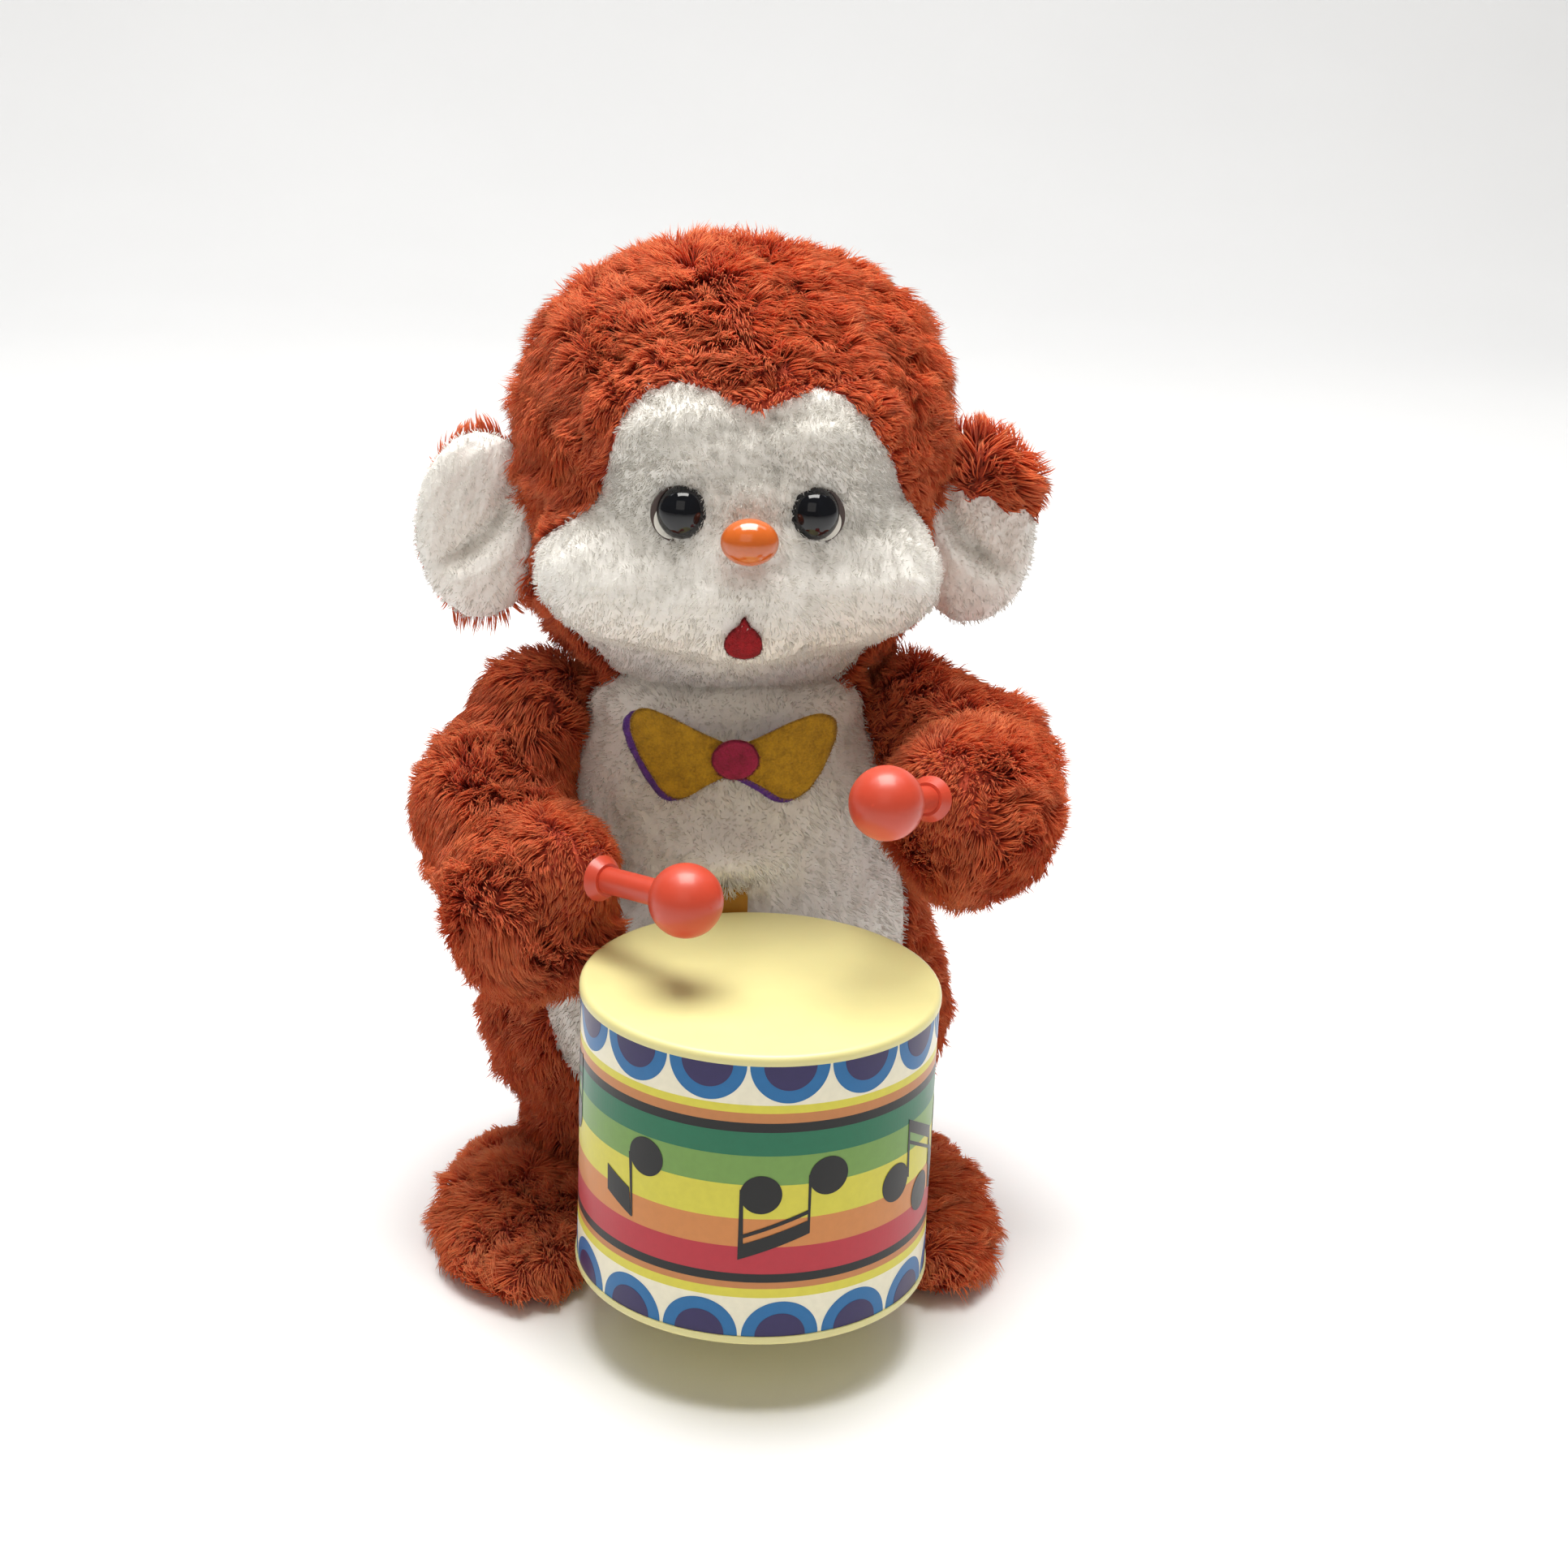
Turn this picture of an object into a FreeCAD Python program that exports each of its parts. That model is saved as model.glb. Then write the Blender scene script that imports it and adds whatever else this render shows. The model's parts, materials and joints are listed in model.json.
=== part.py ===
import FreeCAD, Part
import math
import os

import Sketcher
from FreeCAD import Placement, Rotation, Vector

# Wind-up drumming monkey, 200 mm class plush over a two-part torso casing.
# Millimetres, +Z up, origin on the flat underside of the base plate below the
# torso axis.  The monkey looks along -Y; its right hand is on the -X side.

doc = FreeCAD.newDocument("drumming_monkey")
sheet = doc.addObject("Spreadsheet::Sheet", "Dimensions")

TABLE = [
    # base and torso casing
    ("base_thick", 3.0, "base plate thickness"),
    ("foot_pad_radius", 13.0, "half width of one foot lobe of the base plate"),
    ("foot_offset", 36.0, "foot lobe centre from the mid plane"),
    ("foot_front", 40.0, "front arc centre of a foot lobe, forward of the axis"),
    ("foot_rear", 2.0, "rear arc centre of a foot lobe, forward of the axis"),
    ("casing_wall", 1.5, "torso casing wall"),
    ("casing_top", 101.0, "torso casing top"),
    ("plate_gap", 12.0, "movement plate inner face from the mid plane"),
    ("plate_thick", 1.2, "movement plate thickness"),
    ("plate_half", 24.0, "movement plate half width"),
    ("plate_low", 3.0, "movement plate lower edge"),
    ("plate_shoulder", 78.0, "height where the plate narrows to its tongue"),
    ("tongue_half", 7.0, "half width of the plate tongue"),
    ("tongue_top", 112.0, "top of the plate tongue"),
    ("pillar_radius", 1.8, "plate pillar radius"),
    ("rivet_radius", 1.2, "pillar tenon radius"),
    # wheel train
    ("key_height", 44.0, "winding arbor height"),
    ("winding_radius", 2.2, "winding arbor radius"),
    ("arbor_radius", 1.0, "train arbor radius"),
    ("running_gap", 0.05, "radial running clearance"),
    ("great_module", 0.7, "module of great wheel and second pinion"),
    ("train_module", 0.5, "module of second wheel and its pinions"),
    ("great_teeth", 48.0, "great wheel teeth"),
    ("second_leaves", 12.0, "second pinion leaves"),
    ("second_teeth", 40.0, "second wheel teeth"),
    ("crank_leaves", 10.0, "crank pinion leaves"),
    ("fan_leaves", 8.0, "governor pinion leaves"),
    ("great_thick", 1.6, "great wheel thickness"),
    ("second_thick", 1.0, "second wheel thickness"),
    ("crank_throw", 3.0, "crank pin throw"),
    ("crank_disc_radius", 5.5, "crank disc radius"),
    ("spring_inner", 3.5, "mainspring inner radius"),
    ("spring_outer", 14.2, "mainspring outer radius"),
    ("spring_pitch", 1.5, "mainspring coil pitch"),
    ("spring_strip", 0.4, "mainspring strip thickness"),
    ("spring_width", 9.0, "mainspring strip width"),
    # arm and head drive
    ("shaft_height", 97.0, "arm shaft height"),
    ("shaft_radius", 1.5, "arm shaft radius"),
    ("shaft_half", 46.0, "arm shaft half length"),
    ("hub_radius", 3.0, "arm hub radius"),
    ("hub_inner_end", 17.5, "arm hub inner end"),
    ("hub_outer_end", 42.0, "arm hub outer end"),
    ("rocker_height", 88.0, "rocker pivot height"),
    ("rocker_reach", 20.5, "rocker half length"),
    ("rocker_rest", -3.4, "rocker tilt at rest, degrees"),
    ("lever_rest", 7.6, "arm lever angle at rest either side of level, degrees"),
    ("neck_height", 109.0, "neck pivot height"),
    # drum
    ("drum_radius", 32.5, "drum radius over the paper label"),
    ("drum_rim", 32.9, "drum cap radius"),
    ("drum_side", 2.85, "drum axis sideways"),
    ("drum_forward", 65.95, "drum axis forward of the torso axis"),
    ("drum_low", 14.1, "drum underside"),
    ("drum_top", 70.6, "drum head upper face"),
    ("cap_thick", 1.8, "drum cap edge thickness"),
    ("drum_wall", 1.5, "drum shell wall"),
    ("label_thick", 0.2, "paper label thickness"),
    # sticks
    ("ball_radius", 6.75, "drumstick ball radius"),
    ("stick_radius", 2.5, "drumstick shaft radius"),
    ("flange_radius", 4.3, "drumstick hand flange radius"),
    ("stick_tail", 14.0, "drumstick tail behind the flange"),
    ("tail_radius", 2.0, "drumstick tail radius"),
    # plush
    ("arm_plush_radius", 16.0, "arm plush radius"),
    ("panel_gap", 0.2, "gap between plush panels"),
    ("felt_thick", 1.0, "felt thickness"),
    ("key_span", 15.0, "winding key half span"),
    ("key_start", 45.0, "winding key front edge behind the axis"),
    ("eye_radius", 4.7, "eye dome radius"),
    ("eye_side", 11.9, "eye centre from the mid plane"),
    ("eye_height", 150.6, "eye height"),
    ("stem_radius", 1.4, "eye and nose stem radius"),
]
VALUE = {}
for row, (alias, number, words) in enumerate(TABLE, start=1):
    sheet.set("A%d" % row, words)
    sheet.set("B%d" % row, repr(number))
    sheet.setAlias("B%d" % row, alias)
    VALUE[alias] = number
doc.recompute()


class Size:
    """A number together with the sheet expression that gives it."""

    def __init__(self, v, s):
        self.v, self.s = v, s

    def _op(self, other, sign, fn, swap=False):
        o = other if isinstance(other, Size) else Size(float(other), repr(float(other)))
        a, b = (o, self) if swap else (self, o)
        return Size(fn(a.v, b.v), "(%s %s %s)" % (a.s, sign, b.s))

    def __add__(self, o):
        return self._op(o, "+", lambda a, b: a + b)

    __radd__ = __add__

    def __sub__(self, o):
        return self._op(o, "-", lambda a, b: a - b)

    def __rsub__(self, o):
        return self._op(o, "-", lambda a, b: a - b, True)

    def __mul__(self, o):
        return self._op(o, "*", lambda a, b: a * b)

    __rmul__ = __mul__

    def __truediv__(self, o):
        return self._op(o, "/", lambda a, b: a / b)

    def __neg__(self):
        return Size(-self.v, "(0 - %s)" % self.s)


def d(alias):
    return Size(float(sheet.get(alias)), "Dimensions." + alias)


def num(e):
    return e.v if isinstance(e, Size) else float(e)


def bind(obj, prop, e):
    if isinstance(e, Size):
        obj.setExpression(prop, e.s)
    else:
        setattr(obj, prop, e)


counter = [0]


def fresh(name):
    counter[0] += 1
    return "%s_%d" % (name, counter[0])


def place(o, x=0.0, y=0.0, z=0.0, rot=None):
    o.Placement = Placement(Vector(num(x), num(y), num(z)), rot or Rotation())
    for axis, e in (("x", x), ("y", y), ("z", z)):
        if isinstance(e, Size):
            o.setExpression("Placement.Base." + axis, e.s)
    return o


def prim(kind, x=0.0, y=0.0, z=0.0, rot=None, **sizes):
    o = doc.addObject("Part::" + kind, fresh(kind.lower()))
    for k, v in sizes.items():
        bind(o, k, v)
    return place(o, x, y, z, rot)


ALONG_X = Rotation(Vector(0, 1, 0), 90)
ALONG_Y = Rotation(Vector(1, 0, 0), -90)


def box(x0, x1, y0, y1, z0, z1):
    return prim("Box", x0, y0, z0, Length=x1 - x0, Width=y1 - y0, Height=z1 - z0)


def cyl_x(r, x0, x1, y, z):
    return prim("Cylinder", x0, y, z, ALONG_X, Radius=r, Height=x1 - x0)


def cyl_y(r, y0, y1, x, z):
    return prim("Cylinder", x, y0, z, ALONG_Y, Radius=r, Height=y1 - y0)


def cyl_z(r, z0, z1, x=0.0, y=0.0):
    return prim("Cylinder", x, y, z0, None, Radius=r, Height=z1 - z0)


def rod(r, p, q):
    p, q = Vector(*p), Vector(*q)
    return prim(
        "Cylinder", p.x, p.y, p.z, Rotation(Vector(0, 0, 1), q - p),
        Radius=r, Height=(q - p).Length,
    )


def ball(r, p):
    return prim("Sphere", p[0], p[1], p[2], Radius=r)


def egg(rx, ry, rz, x, y, z, rot=None):
    return prim("Ellipsoid", x, y, z, rot, Radius1=rz, Radius2=rx, Radius3=ry)


def fuse(*shapes):
    o = doc.addObject("Part::MultiFuse", fresh("fuse"))
    o.Shapes = list(shapes)
    return o


def cut(base, *tools):
    tool = tools[0] if len(tools) == 1 else group(*tools)
    o = doc.addObject("Part::Cut", fresh("cut"))
    o.Base, o.Tool = base, tool
    return o


def cuts(base, *tools):
    for tool in tools:
        base = cut(base, tool)
    return base


def common(a, b):
    o = doc.addObject("Part::Common", fresh("common"))
    o.Base, o.Tool = a, b
    return o


def group(*shapes):
    o = doc.addObject("Part::Compound", fresh("group"))
    o.Links = list(shapes)
    return o


def turned(o, angle, axis, point):
    """Turns a whole feature about a point; its own placement is identity before."""
    rot = Rotation(Vector(*axis), angle)
    p = Vector(*point)
    o.Placement = Placement(p - rot.multVec(p), rot)
    return o


def loft(sections):
    """Closed solid through horizontal ellipses (z, half x, half y, y centre)."""
    rings = []
    for z, rx, ry, cy in sections:
        wide = rx >= ry
        e = doc.addObject("Part::Ellipse", fresh("ring"))
        e.MajorRadius, e.MinorRadius = (rx, ry) if wide else (ry, rx)
        e.Placement = Placement(
            Vector(0, cy, z), Rotation() if wide else Rotation(Vector(0, 0, 1), 90)
        )
        rings.append(e)
    o = doc.addObject("Part::Loft", fresh("loft"))
    o.Sections, o.Solid, o.Ruled, o.Closed = rings, True, False, False
    return o


def grown(sections, by, low=0.0, high=0.0):
    out = [[z, rx + by, ry + by, cy] for z, rx, ry, cy in sections]
    out[0][0] -= low
    out[-1][0] += high
    return out


def prism_y(points, y0, y1):
    """Outline in X-Z swept along Y."""
    wire = doc.addObject("Part::Feature", fresh("outline"))
    ring = [Vector(x, y0, z) for x, z in points]
    wire.Shape = Part.Face(Part.makePolygon(ring + [ring[0]]))
    o = doc.addObject("Part::Extrusion", fresh("prism"))
    o.Base, o.DirMode, o.Dir = wire, "Custom", Vector(0, 1, 0)
    o.LengthFwd, o.Solid = y1 - y0, True
    return o


NODES = {}


def node(obj, name):
    obj.Label = name
    NODES[name] = obj
    return obj


# ---- PartDesign helpers ----------------------------------------------------


def new_body(name):
    return doc.addObject("PartDesign::Body", name + "_body")


def plane(body, role):
    return [f for f in body.Origin.OriginFeatures if f.Role == role][0]


def sketch(body, role, lift=0.0):
    s = body.newObject("Sketcher::SketchObject", fresh("sketch"))
    s.AttachmentSupport = [(plane(body, role), "")]
    s.MapMode = "FlatFace"
    s.AttachmentOffset = Placement(Vector(0, 0, num(lift)), Rotation())
    return s


def pin_point(s, geo, pos, x, y):
    for kind, e, axis in (("DistanceX", x, -2), ("DistanceY", y, -1)):
        if abs(num(e)) < 1e-9:
            s.addConstraint(Sketcher.Constraint("PointOnObject", geo, pos, axis))
        else:
            i = s.addConstraint(Sketcher.Constraint(kind, geo, pos, num(e)))
            if isinstance(e, Size):
                s.setExpression("Constraints[%d]" % i, e.s)


def polygon(s, points):
    n = len(points)
    flat = [Vector(num(x), num(y), 0) for x, y in points]
    ids = [
        s.addGeometry(Part.LineSegment(flat[i], flat[(i + 1) % n]), False)
        for i in range(n)
    ]
    for i in range(n):
        s.addConstraint(Sketcher.Constraint("Coincident", ids[i], 2, ids[(i + 1) % n], 1))
    for i, (x, y) in enumerate(points):
        pin_point(s, ids[i], 1, x, y)


def circle(s, x, y, r):
    g = s.addGeometry(Part.Circle(Vector(num(x), num(y), 0), Vector(0, 0, 1), num(r)), False)
    i = s.addConstraint(Sketcher.Constraint("Radius", g, num(r)))
    if isinstance(r, Size):
        s.setExpression("Constraints[%d]" % i, r.s)
    if abs(num(x)) < 1e-9 and abs(num(y)) < 1e-9:
        s.addConstraint(Sketcher.Constraint("Coincident", g, 3, -1, 1))
    else:
        pin_point(s, g, 3, x, y)


def pad(body, s, length, back=False, mid=False):
    p = body.newObject("PartDesign::Pad", fresh("pad"))
    p.Profile = s
    bind(p, "Length", length)
    p.Reversed = back
    p.Midplane = mid
    body.Tip = p
    return p


def pocket(body, s, length, back=False):
    p = body.newObject("PartDesign::Pocket", fresh("pocket"))
    p.Profile = s
    bind(p, "Length", length)
    p.Reversed = back
    body.Tip = p
    return p


def revolve(body, s, axis="V_Axis"):
    r = body.newObject("PartDesign::Revolution", fresh("revolution"))
    r.Profile = s
    r.ReferenceAxis = (s, [axis])
    r.Angle = 360
    body.Tip = r
    return r


def round_edges(body, feature, radius, wanted):
    doc.recompute()
    names = [
        "Edge%d" % (i + 1) for i, e in enumerate(feature.Shape.Edges) if wanted(e)
    ]
    f = body.newObject("PartDesign::Fillet", fresh("fillet"))
    f.Base = (feature, names)
    f.Radius = radius
    body.Tip = f
    return f


def is_ring(e, radius, z):
    c = e.Curve
    return (
        isinstance(c, Part.Circle)
        and abs(c.Radius - radius) < 1e-3
        and abs(c.Center.z - z) < 1e-3
    )


# ---- section tables of the soft and cased forms ------------------------------

CASING = [
    (3.0, 30.0, 22.0, 0.0), (20.0, 35.0, 25.0, 0.0), (50.0, 36.0, 26.0, 0.0),
    (80.0, 32.5, 23.5, 0.0), (93.0, 29.5, 21.0, 0.0), (101.0, 24.0, 18.0, 0.0),
]
BODY = [
    (4.0, 35.0, 27.0, 2.0), (12.0, 43.0, 33.0, 1.5), (24.0, 48.0, 36.0, 1.0),
    (36.0, 49.5, 37.0, 1.0), (52.0, 47.5, 36.5, 0.5), (68.0, 43.0, 34.5, 0.0),
    (82.0, 38.0, 31.0, 0.0), (94.0, 34.0, 27.5, 0.0), (106.5, 29.0, 22.5, 0.0),
]
HEAD = [
    (110.0, 25.0, 21.0, -2.0), (117.0, 32.0, 29.0, -2.0), (126.0, 37.5, 36.0, -1.0),
    (138.0, 41.0, 40.0, 0.0), (150.0, 44.5, 42.0, 0.0), (163.0, 45.0, 42.0, 1.0),
    (175.0, 41.0, 38.0, 1.0), (185.0, 31.0, 28.0, 1.0), (192.0, 17.0, 15.0, 1.0),
    (194.5, 6.0, 5.0, 1.0),
]
FOOT = [
    (0.6, 16.5, 34.0, 0.0), (6.0, 19.5, 37.0, 0.0), (10.5, 15.5, 32.0, 1.0),
    (13.4, 8.0, 22.0, 2.0),
]
BELLY = [
    (-28.5, 112.0), (-31.0, 98.0), (-34.5, 82.0), (-37.0, 64.0), (-36.5, 48.0),
    (-32.0, 34.0), (-22.0, 24.0), (0.0, 19.0), (22.0, 24.0), (32.0, 34.0),
    (36.5, 48.0), (37.0, 64.0), (34.5, 82.0), (31.0, 98.0), (28.5, 112.0),
]
FACE = [
    (0.0, 169.0), (9.0, 174.0), (19.0, 173.0), (27.0, 164.0), (31.0, 152.0),
    (37.5, 145.0), (39.5, 136.0), (36.0, 124.0), (29.0, 114.0), (22.0, 108.0),
    (-22.0, 108.0), (-29.0, 114.0), (-36.0, 124.0), (-39.5, 136.0), (-37.5, 145.0),
    (-31.0, 152.0), (-27.0, 164.0), (-19.0, 173.0), (-9.0, 174.0),
]


def swollen(points, by, cx, cz):
    out = []
    for x, z in points:
        r = math.hypot(x - cx, z - cz)
        k = (r + by) / r
        out.append((cx + (x - cx) * k, cz + (z - cz) * k))
    return out


axis_y, axis_z = 0.0, d("shaft_height")
shaft_z = num(axis_z)

# ---- base plate: two foot lobes and the bridge that carries the torso --------

lobes = []
for side in (-1.0, 1.0):
    cx = d("foot_offset") * side
    lobes += [
        cyl_z(d("foot_pad_radius"), 0.0, d("base_thick"), cx, -d("foot_front")),
        cyl_z(d("foot_pad_radius"), 0.0, d("base_thick"), cx, -d("foot_rear")),
        box(cx - d("foot_pad_radius"), cx + d("foot_pad_radius"),
            -d("foot_front"), -d("foot_rear"), 0.0, d("base_thick")),
    ]
bridge = fuse(
    box(-20.0, 20.0, -20.0, 22.0, 0.0, d("base_thick")),
    box(-d("foot_offset"), d("foot_offset"), -20.0, 8.0, 0.0, d("base_thick")),
)
base_holes = [
    cyl_z(1.02, 0.8, 3.5, x, y) for x in (-7.0, 7.0) for y in (-16.5, 16.5)
]
node(cuts(fuse(bridge, *lobes), *base_holes), "base_plate")

# ---- torso casing in two shells, split at the arm shaft ----------------------

casing_outer = loft(CASING)
casing_inner = loft(grown(CASING, -num(d("casing_wall")), 0.2, 0.2))
casing = cut(casing_outer, casing_inner)
hub_way = cyl_x(d("hub_radius") + 0.5, -60.0, 60.0, 0.0, axis_z)
bracket_way = box(-6.4, 4.4, -45.0, -10.0, 73.4, 76.2)
front_block = box(-60.0, 60.0, -60.0, 0.0, -5.0, 130.0)
rear_block = box(-60.0, 60.0, 0.0, 60.0, -5.0, 130.0)
front_screw_ways = [cyl_y(1.25, -30.0, -14.0, x, 30.0) for x in (-16.0, 16.0)]
rear_screw_ways = [cyl_y(1.25, 14.0, 30.0, x, 30.0) for x in (-16.0, 16.0)]
key_way = cyl_y(4.9, 14.0, 60.0, 0.0, d("key_height"))
node(
    cuts(common(casing, front_block), hub_way, bracket_way, *front_screw_ways),
    "torso_front_shell",
)
node(
    cuts(common(casing, rear_block), hub_way, key_way, *rear_screw_ways),
    "torso_rear_shell",
)
# four screws hold the two shells to the movement plates
screws = []
for x in (-16.0, 16.0):
    for s in (-1.0, 1.0):
        shank = cyl_y(1.2, min(s * 12.4, s * 24.6), max(s * 12.4, s * 24.6), x, 30.0)
        head = cyl_y(2.3, min(s * 24.6, s * 26.0), max(s * 24.6, s * 26.0), x, 30.0)
        screws.append(fuse(shank, head))
node(group(*screws), "shell_screws")
node(
    group(*[
        fuse(cyl_z(1.0, 1.0, 4.3, x, y), cyl_z(2.0, 4.3, 5.5, x, y))
        for x in (-7.0, 7.0) for y in (-16.5, 16.5)
    ]),
    "base_screws",
)

# ---- movement plates -----------------------------------------------------------

great_r = num(d("great_module")) * num(d("great_teeth")) / 2
pin2_r = num(d("great_module")) * num(d("second_leaves")) / 2
second_r = num(d("train_module")) * num(d("second_teeth")) / 2
crank_r = num(d("train_module")) * num(d("crank_leaves")) / 2
fan_r = num(d("train_module")) * num(d("fan_leaves")) / 2
key_z = num(d("key_height"))
second_x = -10.0
second_z = key_z + math.sqrt((great_r + pin2_r) ** 2 - second_x ** 2)
crank_x = 0.0
crank_z = second_z + math.sqrt((second_r + crank_r) ** 2 - second_x ** 2)
fan_dir = math.radians(130.0)
fan_x = second_x + (second_r + fan_r) * math.cos(fan_dir)
fan_z = second_z + (second_r + fan_r) * math.sin(fan_dir)
PILLARS = [(20.0, 16.0), (-20.0, 16.0), (19.0, 70.0), (-22.0, 58.0)]


def movement_plate(name, sign):
    b = new_body(name)
    # the X-Z origin plane looks along -Y
    s = sketch(b, "XZ_Plane", -sign * d("plate_gap").v if sign > 0 else d("plate_gap").v)
    polygon(s, [
        (-d("plate_half"), d("plate_low") + 9.0), (-18.0, d("plate_low")),
        (18.0, d("plate_low")), (d("plate_half"), d("plate_low") + 9.0),
        (d("plate_half"), 70.0), (16.0, d("plate_shoulder")),
        (d("tongue_half"), d("plate_shoulder")), (d("tongue_half"), d("tongue_top")),
        (-d("tongue_half"), d("tongue_top")), (-d("tongue_half"), d("plate_shoulder")),
        (-22.0, d("plate_shoulder")), (-d("plate_half"), 70.0),
    ])
    pad(b, s, d("plate_thick"), back=sign > 0)
    s = sketch(b, "XZ_Plane", -sign * (d("plate_gap").v + 3.0) if sign > 0 else d("plate_gap").v + 3.0)
    circle(s, 0.0, d("key_height"), d("winding_radius") + d("running_gap"))
    for x, z in ((second_x, second_z), (crank_x, crank_z), (fan_x, fan_z)):
        circle(s, x, z, d("arbor_radius") + d("running_gap"))
    for x, z in PILLARS:
        circle(s, x, z, d("rivet_radius") + 0.02)
    for x in (-16.0, 16.0):
        circle(s, x, 30.0, 1.22)
    circle(s, 0.0, d("neck_height"), 1.02)
    if sign < 0:
        circle(s, 0.0, d("rocker_height"), 1.02)
    pocket(b, s, 8.0, back=sign > 0)
    s = sketch(b, "XY_Plane", d("plate_low").v)
    near, far = d("plate_gap") + 0.2, d("plate_gap") + 6.6
    if sign < 0:
        near, far = -near, -far
    polygon(s, [(-11.0, near), (11.0, near), (11.0, far), (-11.0, far)])
    pad(b, s, d("plate_thick"))
    s = sketch(b, "XY_Plane", 6.0)
    for x in (-7.0, 7.0):
        circle(s, x, 16.5 * sign, 1.05)
    pocket(b, s, 5.0)
    return node(b, name)


movement_plate("front_plate", -1)
movement_plate("rear_plate", 1)
pillars = []
for x, z in PILLARS:
    pillars.append(fuse(
        cyl_y(d("pillar_radius"), -d("plate_gap"), d("plate_gap"), x, z),
        cyl_y(d("rivet_radius"), -d("plate_gap") - 1.6, d("plate_gap") + 1.6, x, z),
        cyl_y(1.9, -d("plate_gap") - 2.0, -d("plate_gap") - d("plate_thick"), x, z),
        cyl_y(1.9, d("plate_gap") + d("plate_thick"), d("plate_gap") + 2.0, x, z),
    ))
node(group(*pillars), "plate_pillars")

# ---- mainspring and its anchor post ---------------------------------------------

turns = (num(d("spring_outer")) - num(d("spring_inner"))) / num(d("spring_pitch"))
steps = int(turns * 22)
inner, outer = [], []
for i in range(steps + 1):
    a = 2 * math.pi * turns * i / steps
    r = num(d("spring_inner")) + num(d("spring_pitch")) * a / (2 * math.pi)
    c, s_ = math.cos(a), math.sin(a)
    half = num(d("spring_strip")) / 2
    inner.append(((r - half) * c, key_z + (r - half) * s_))
    outer.append(((r + half) * c, key_z + (r + half) * s_))
node(prism_y(inner + outer[::-1], -10.5, -10.5 + num(d("spring_width"))), "mainspring")
node(cyl_y(1.3, -12.0, -1.5, 11.6, key_z - 11.8), "spring_anchor")

# ---- arm shaft, its yoke and clips -----------------------------------------------

node(cyl_x(d("shaft_radius"), -d("shaft_half"), d("shaft_half"), 0.0, axis_z), "arm_shaft")
node(
    group(*[
        cut(cyl_x(2.8, x, x + 1.2, 0.0, axis_z),
            cyl_x(d("shaft_radius") + 0.02, x - 1.0, x + 3.0, 0.0, axis_z))
        for x in (-44.8, 43.6)
    ]),
    "shaft_clips",
)
yoke = fuse(
    box(-9.5, 9.5, -4.0, 11.98, 103.0, 104.2),
    box(-9.5, -8.0, -4.0, 4.0, 93.0, 103.0),
    box(8.0, 9.5, -4.0, 4.0, 93.0, 103.0),
)
node(cut(yoke, cyl_x(d("shaft_radius") + 0.02, -12.0, 12.0, 0.0, axis_z)), "shaft_yoke")
node(
    fuse(cyl_y(1.0, -14.0, -7.6, 0.0, d("rocker_height")),
         cyl_y(1.8, -7.9, -7.2, 0.0, d("rocker_height"))),
    "rocker_pin",
)
node(
    fuse(cyl_y(1.0, -14.0, 14.0, 0.0, d("neck_height")),
         cyl_y(1.8, -14.6, -13.6, 0.0, d("neck_height"))),
    "neck_pin",
)

# ---- wheel train -----------------------------------------------------------------

ALPHA = math.radians(25.0)


def gear_points(teeth, module, tip, root, thin, phase, cx, cz):
    teeth = int(round(teeth))
    r = module * teeth / 2
    rb, ra, rf = r * math.cos(ALPHA), r + tip * module, r - root * module
    half = (math.pi * module / 2 - thin) / 2 / r + math.tan(ALPHA) - ALPHA

    def width(rad):
        if rad <= rb:
            return half
        phi = math.acos(rb / rad)
        return half - (math.tan(phi) - phi)

    start = max(rb, rf)
    flank = [rf] if rf < rb - 1e-6 else []
    flank += [start + (ra - start) * k / 4.0 for k in range(5)]
    pts = []
    for i in range(teeth):
        mid = phase + 2 * math.pi * i / teeth
        for rad in flank:
            pts.append((cx + rad * math.cos(mid - width(rad)), cz + rad * math.sin(mid - width(rad))))
        for rad in reversed(flank):
            pts.append((cx + rad * math.cos(mid + width(rad)), cz + rad * math.sin(mid + width(rad))))
    return pts


def gear(teeth, module, tip, root, thin, phase, cx, cz, y0, thick):
    return prism_y(gear_points(teeth, module, tip, root, thin, phase, cx, cz), y0, y0 + thick)


mg, mt = num(d("great_module")), num(d("train_module"))
line_a = math.atan2(second_z - key_z, second_x)
line_b = math.atan2(crank_z - second_z, crank_x - second_x)
line_c = fan_dir
great = gear(num(d("great_teeth")), mg, 0.75, 1.15, 0.07, line_a, 0.0, key_z, 1.0, num(d("great_thick")))
node(cut(great, cyl_y(d("winding_radius") + 0.02, 0.0, 4.0, 0.0, d("key_height"))), "great_wheel")
ratchet = []
for i in range(18):
    a0, a1 = 2 * math.pi * i / 18, 2 * math.pi * (i + 1) / 18
    ratchet.append((7.0 * math.cos(a0), key_z + 7.0 * math.sin(a0)))
    ratchet.append((5.6 * math.cos(a1 - 0.02), key_z + 5.6 * math.sin(a1 - 0.02)))
node(
    cut(prism_y(ratchet, 3.2, 4.4), cyl_y(d("winding_radius") + 0.02, 0.0, 6.0, 0.0, d("key_height"))),
    "ratchet_wheel",
)
node(
    fuse(cyl_y(1.5, 2.65, 4.4, 10.6, key_z + 4.0),
         prism_y([(9.4, key_z + 4.8), (7.5, key_z + 1.4), (8.0, key_z + 0.8), (11.6, key_z + 3.2)], 3.2, 4.4)),
    "click_pawl",
)
node(
    fuse(cyl_y(d("winding_radius"), -14.0, 46.0, 0.0, d("key_height")),
         cyl_y(3.1, 4.6, 11.6, 0.0, d("key_height"))),
    "winding_arbor",
)


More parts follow.
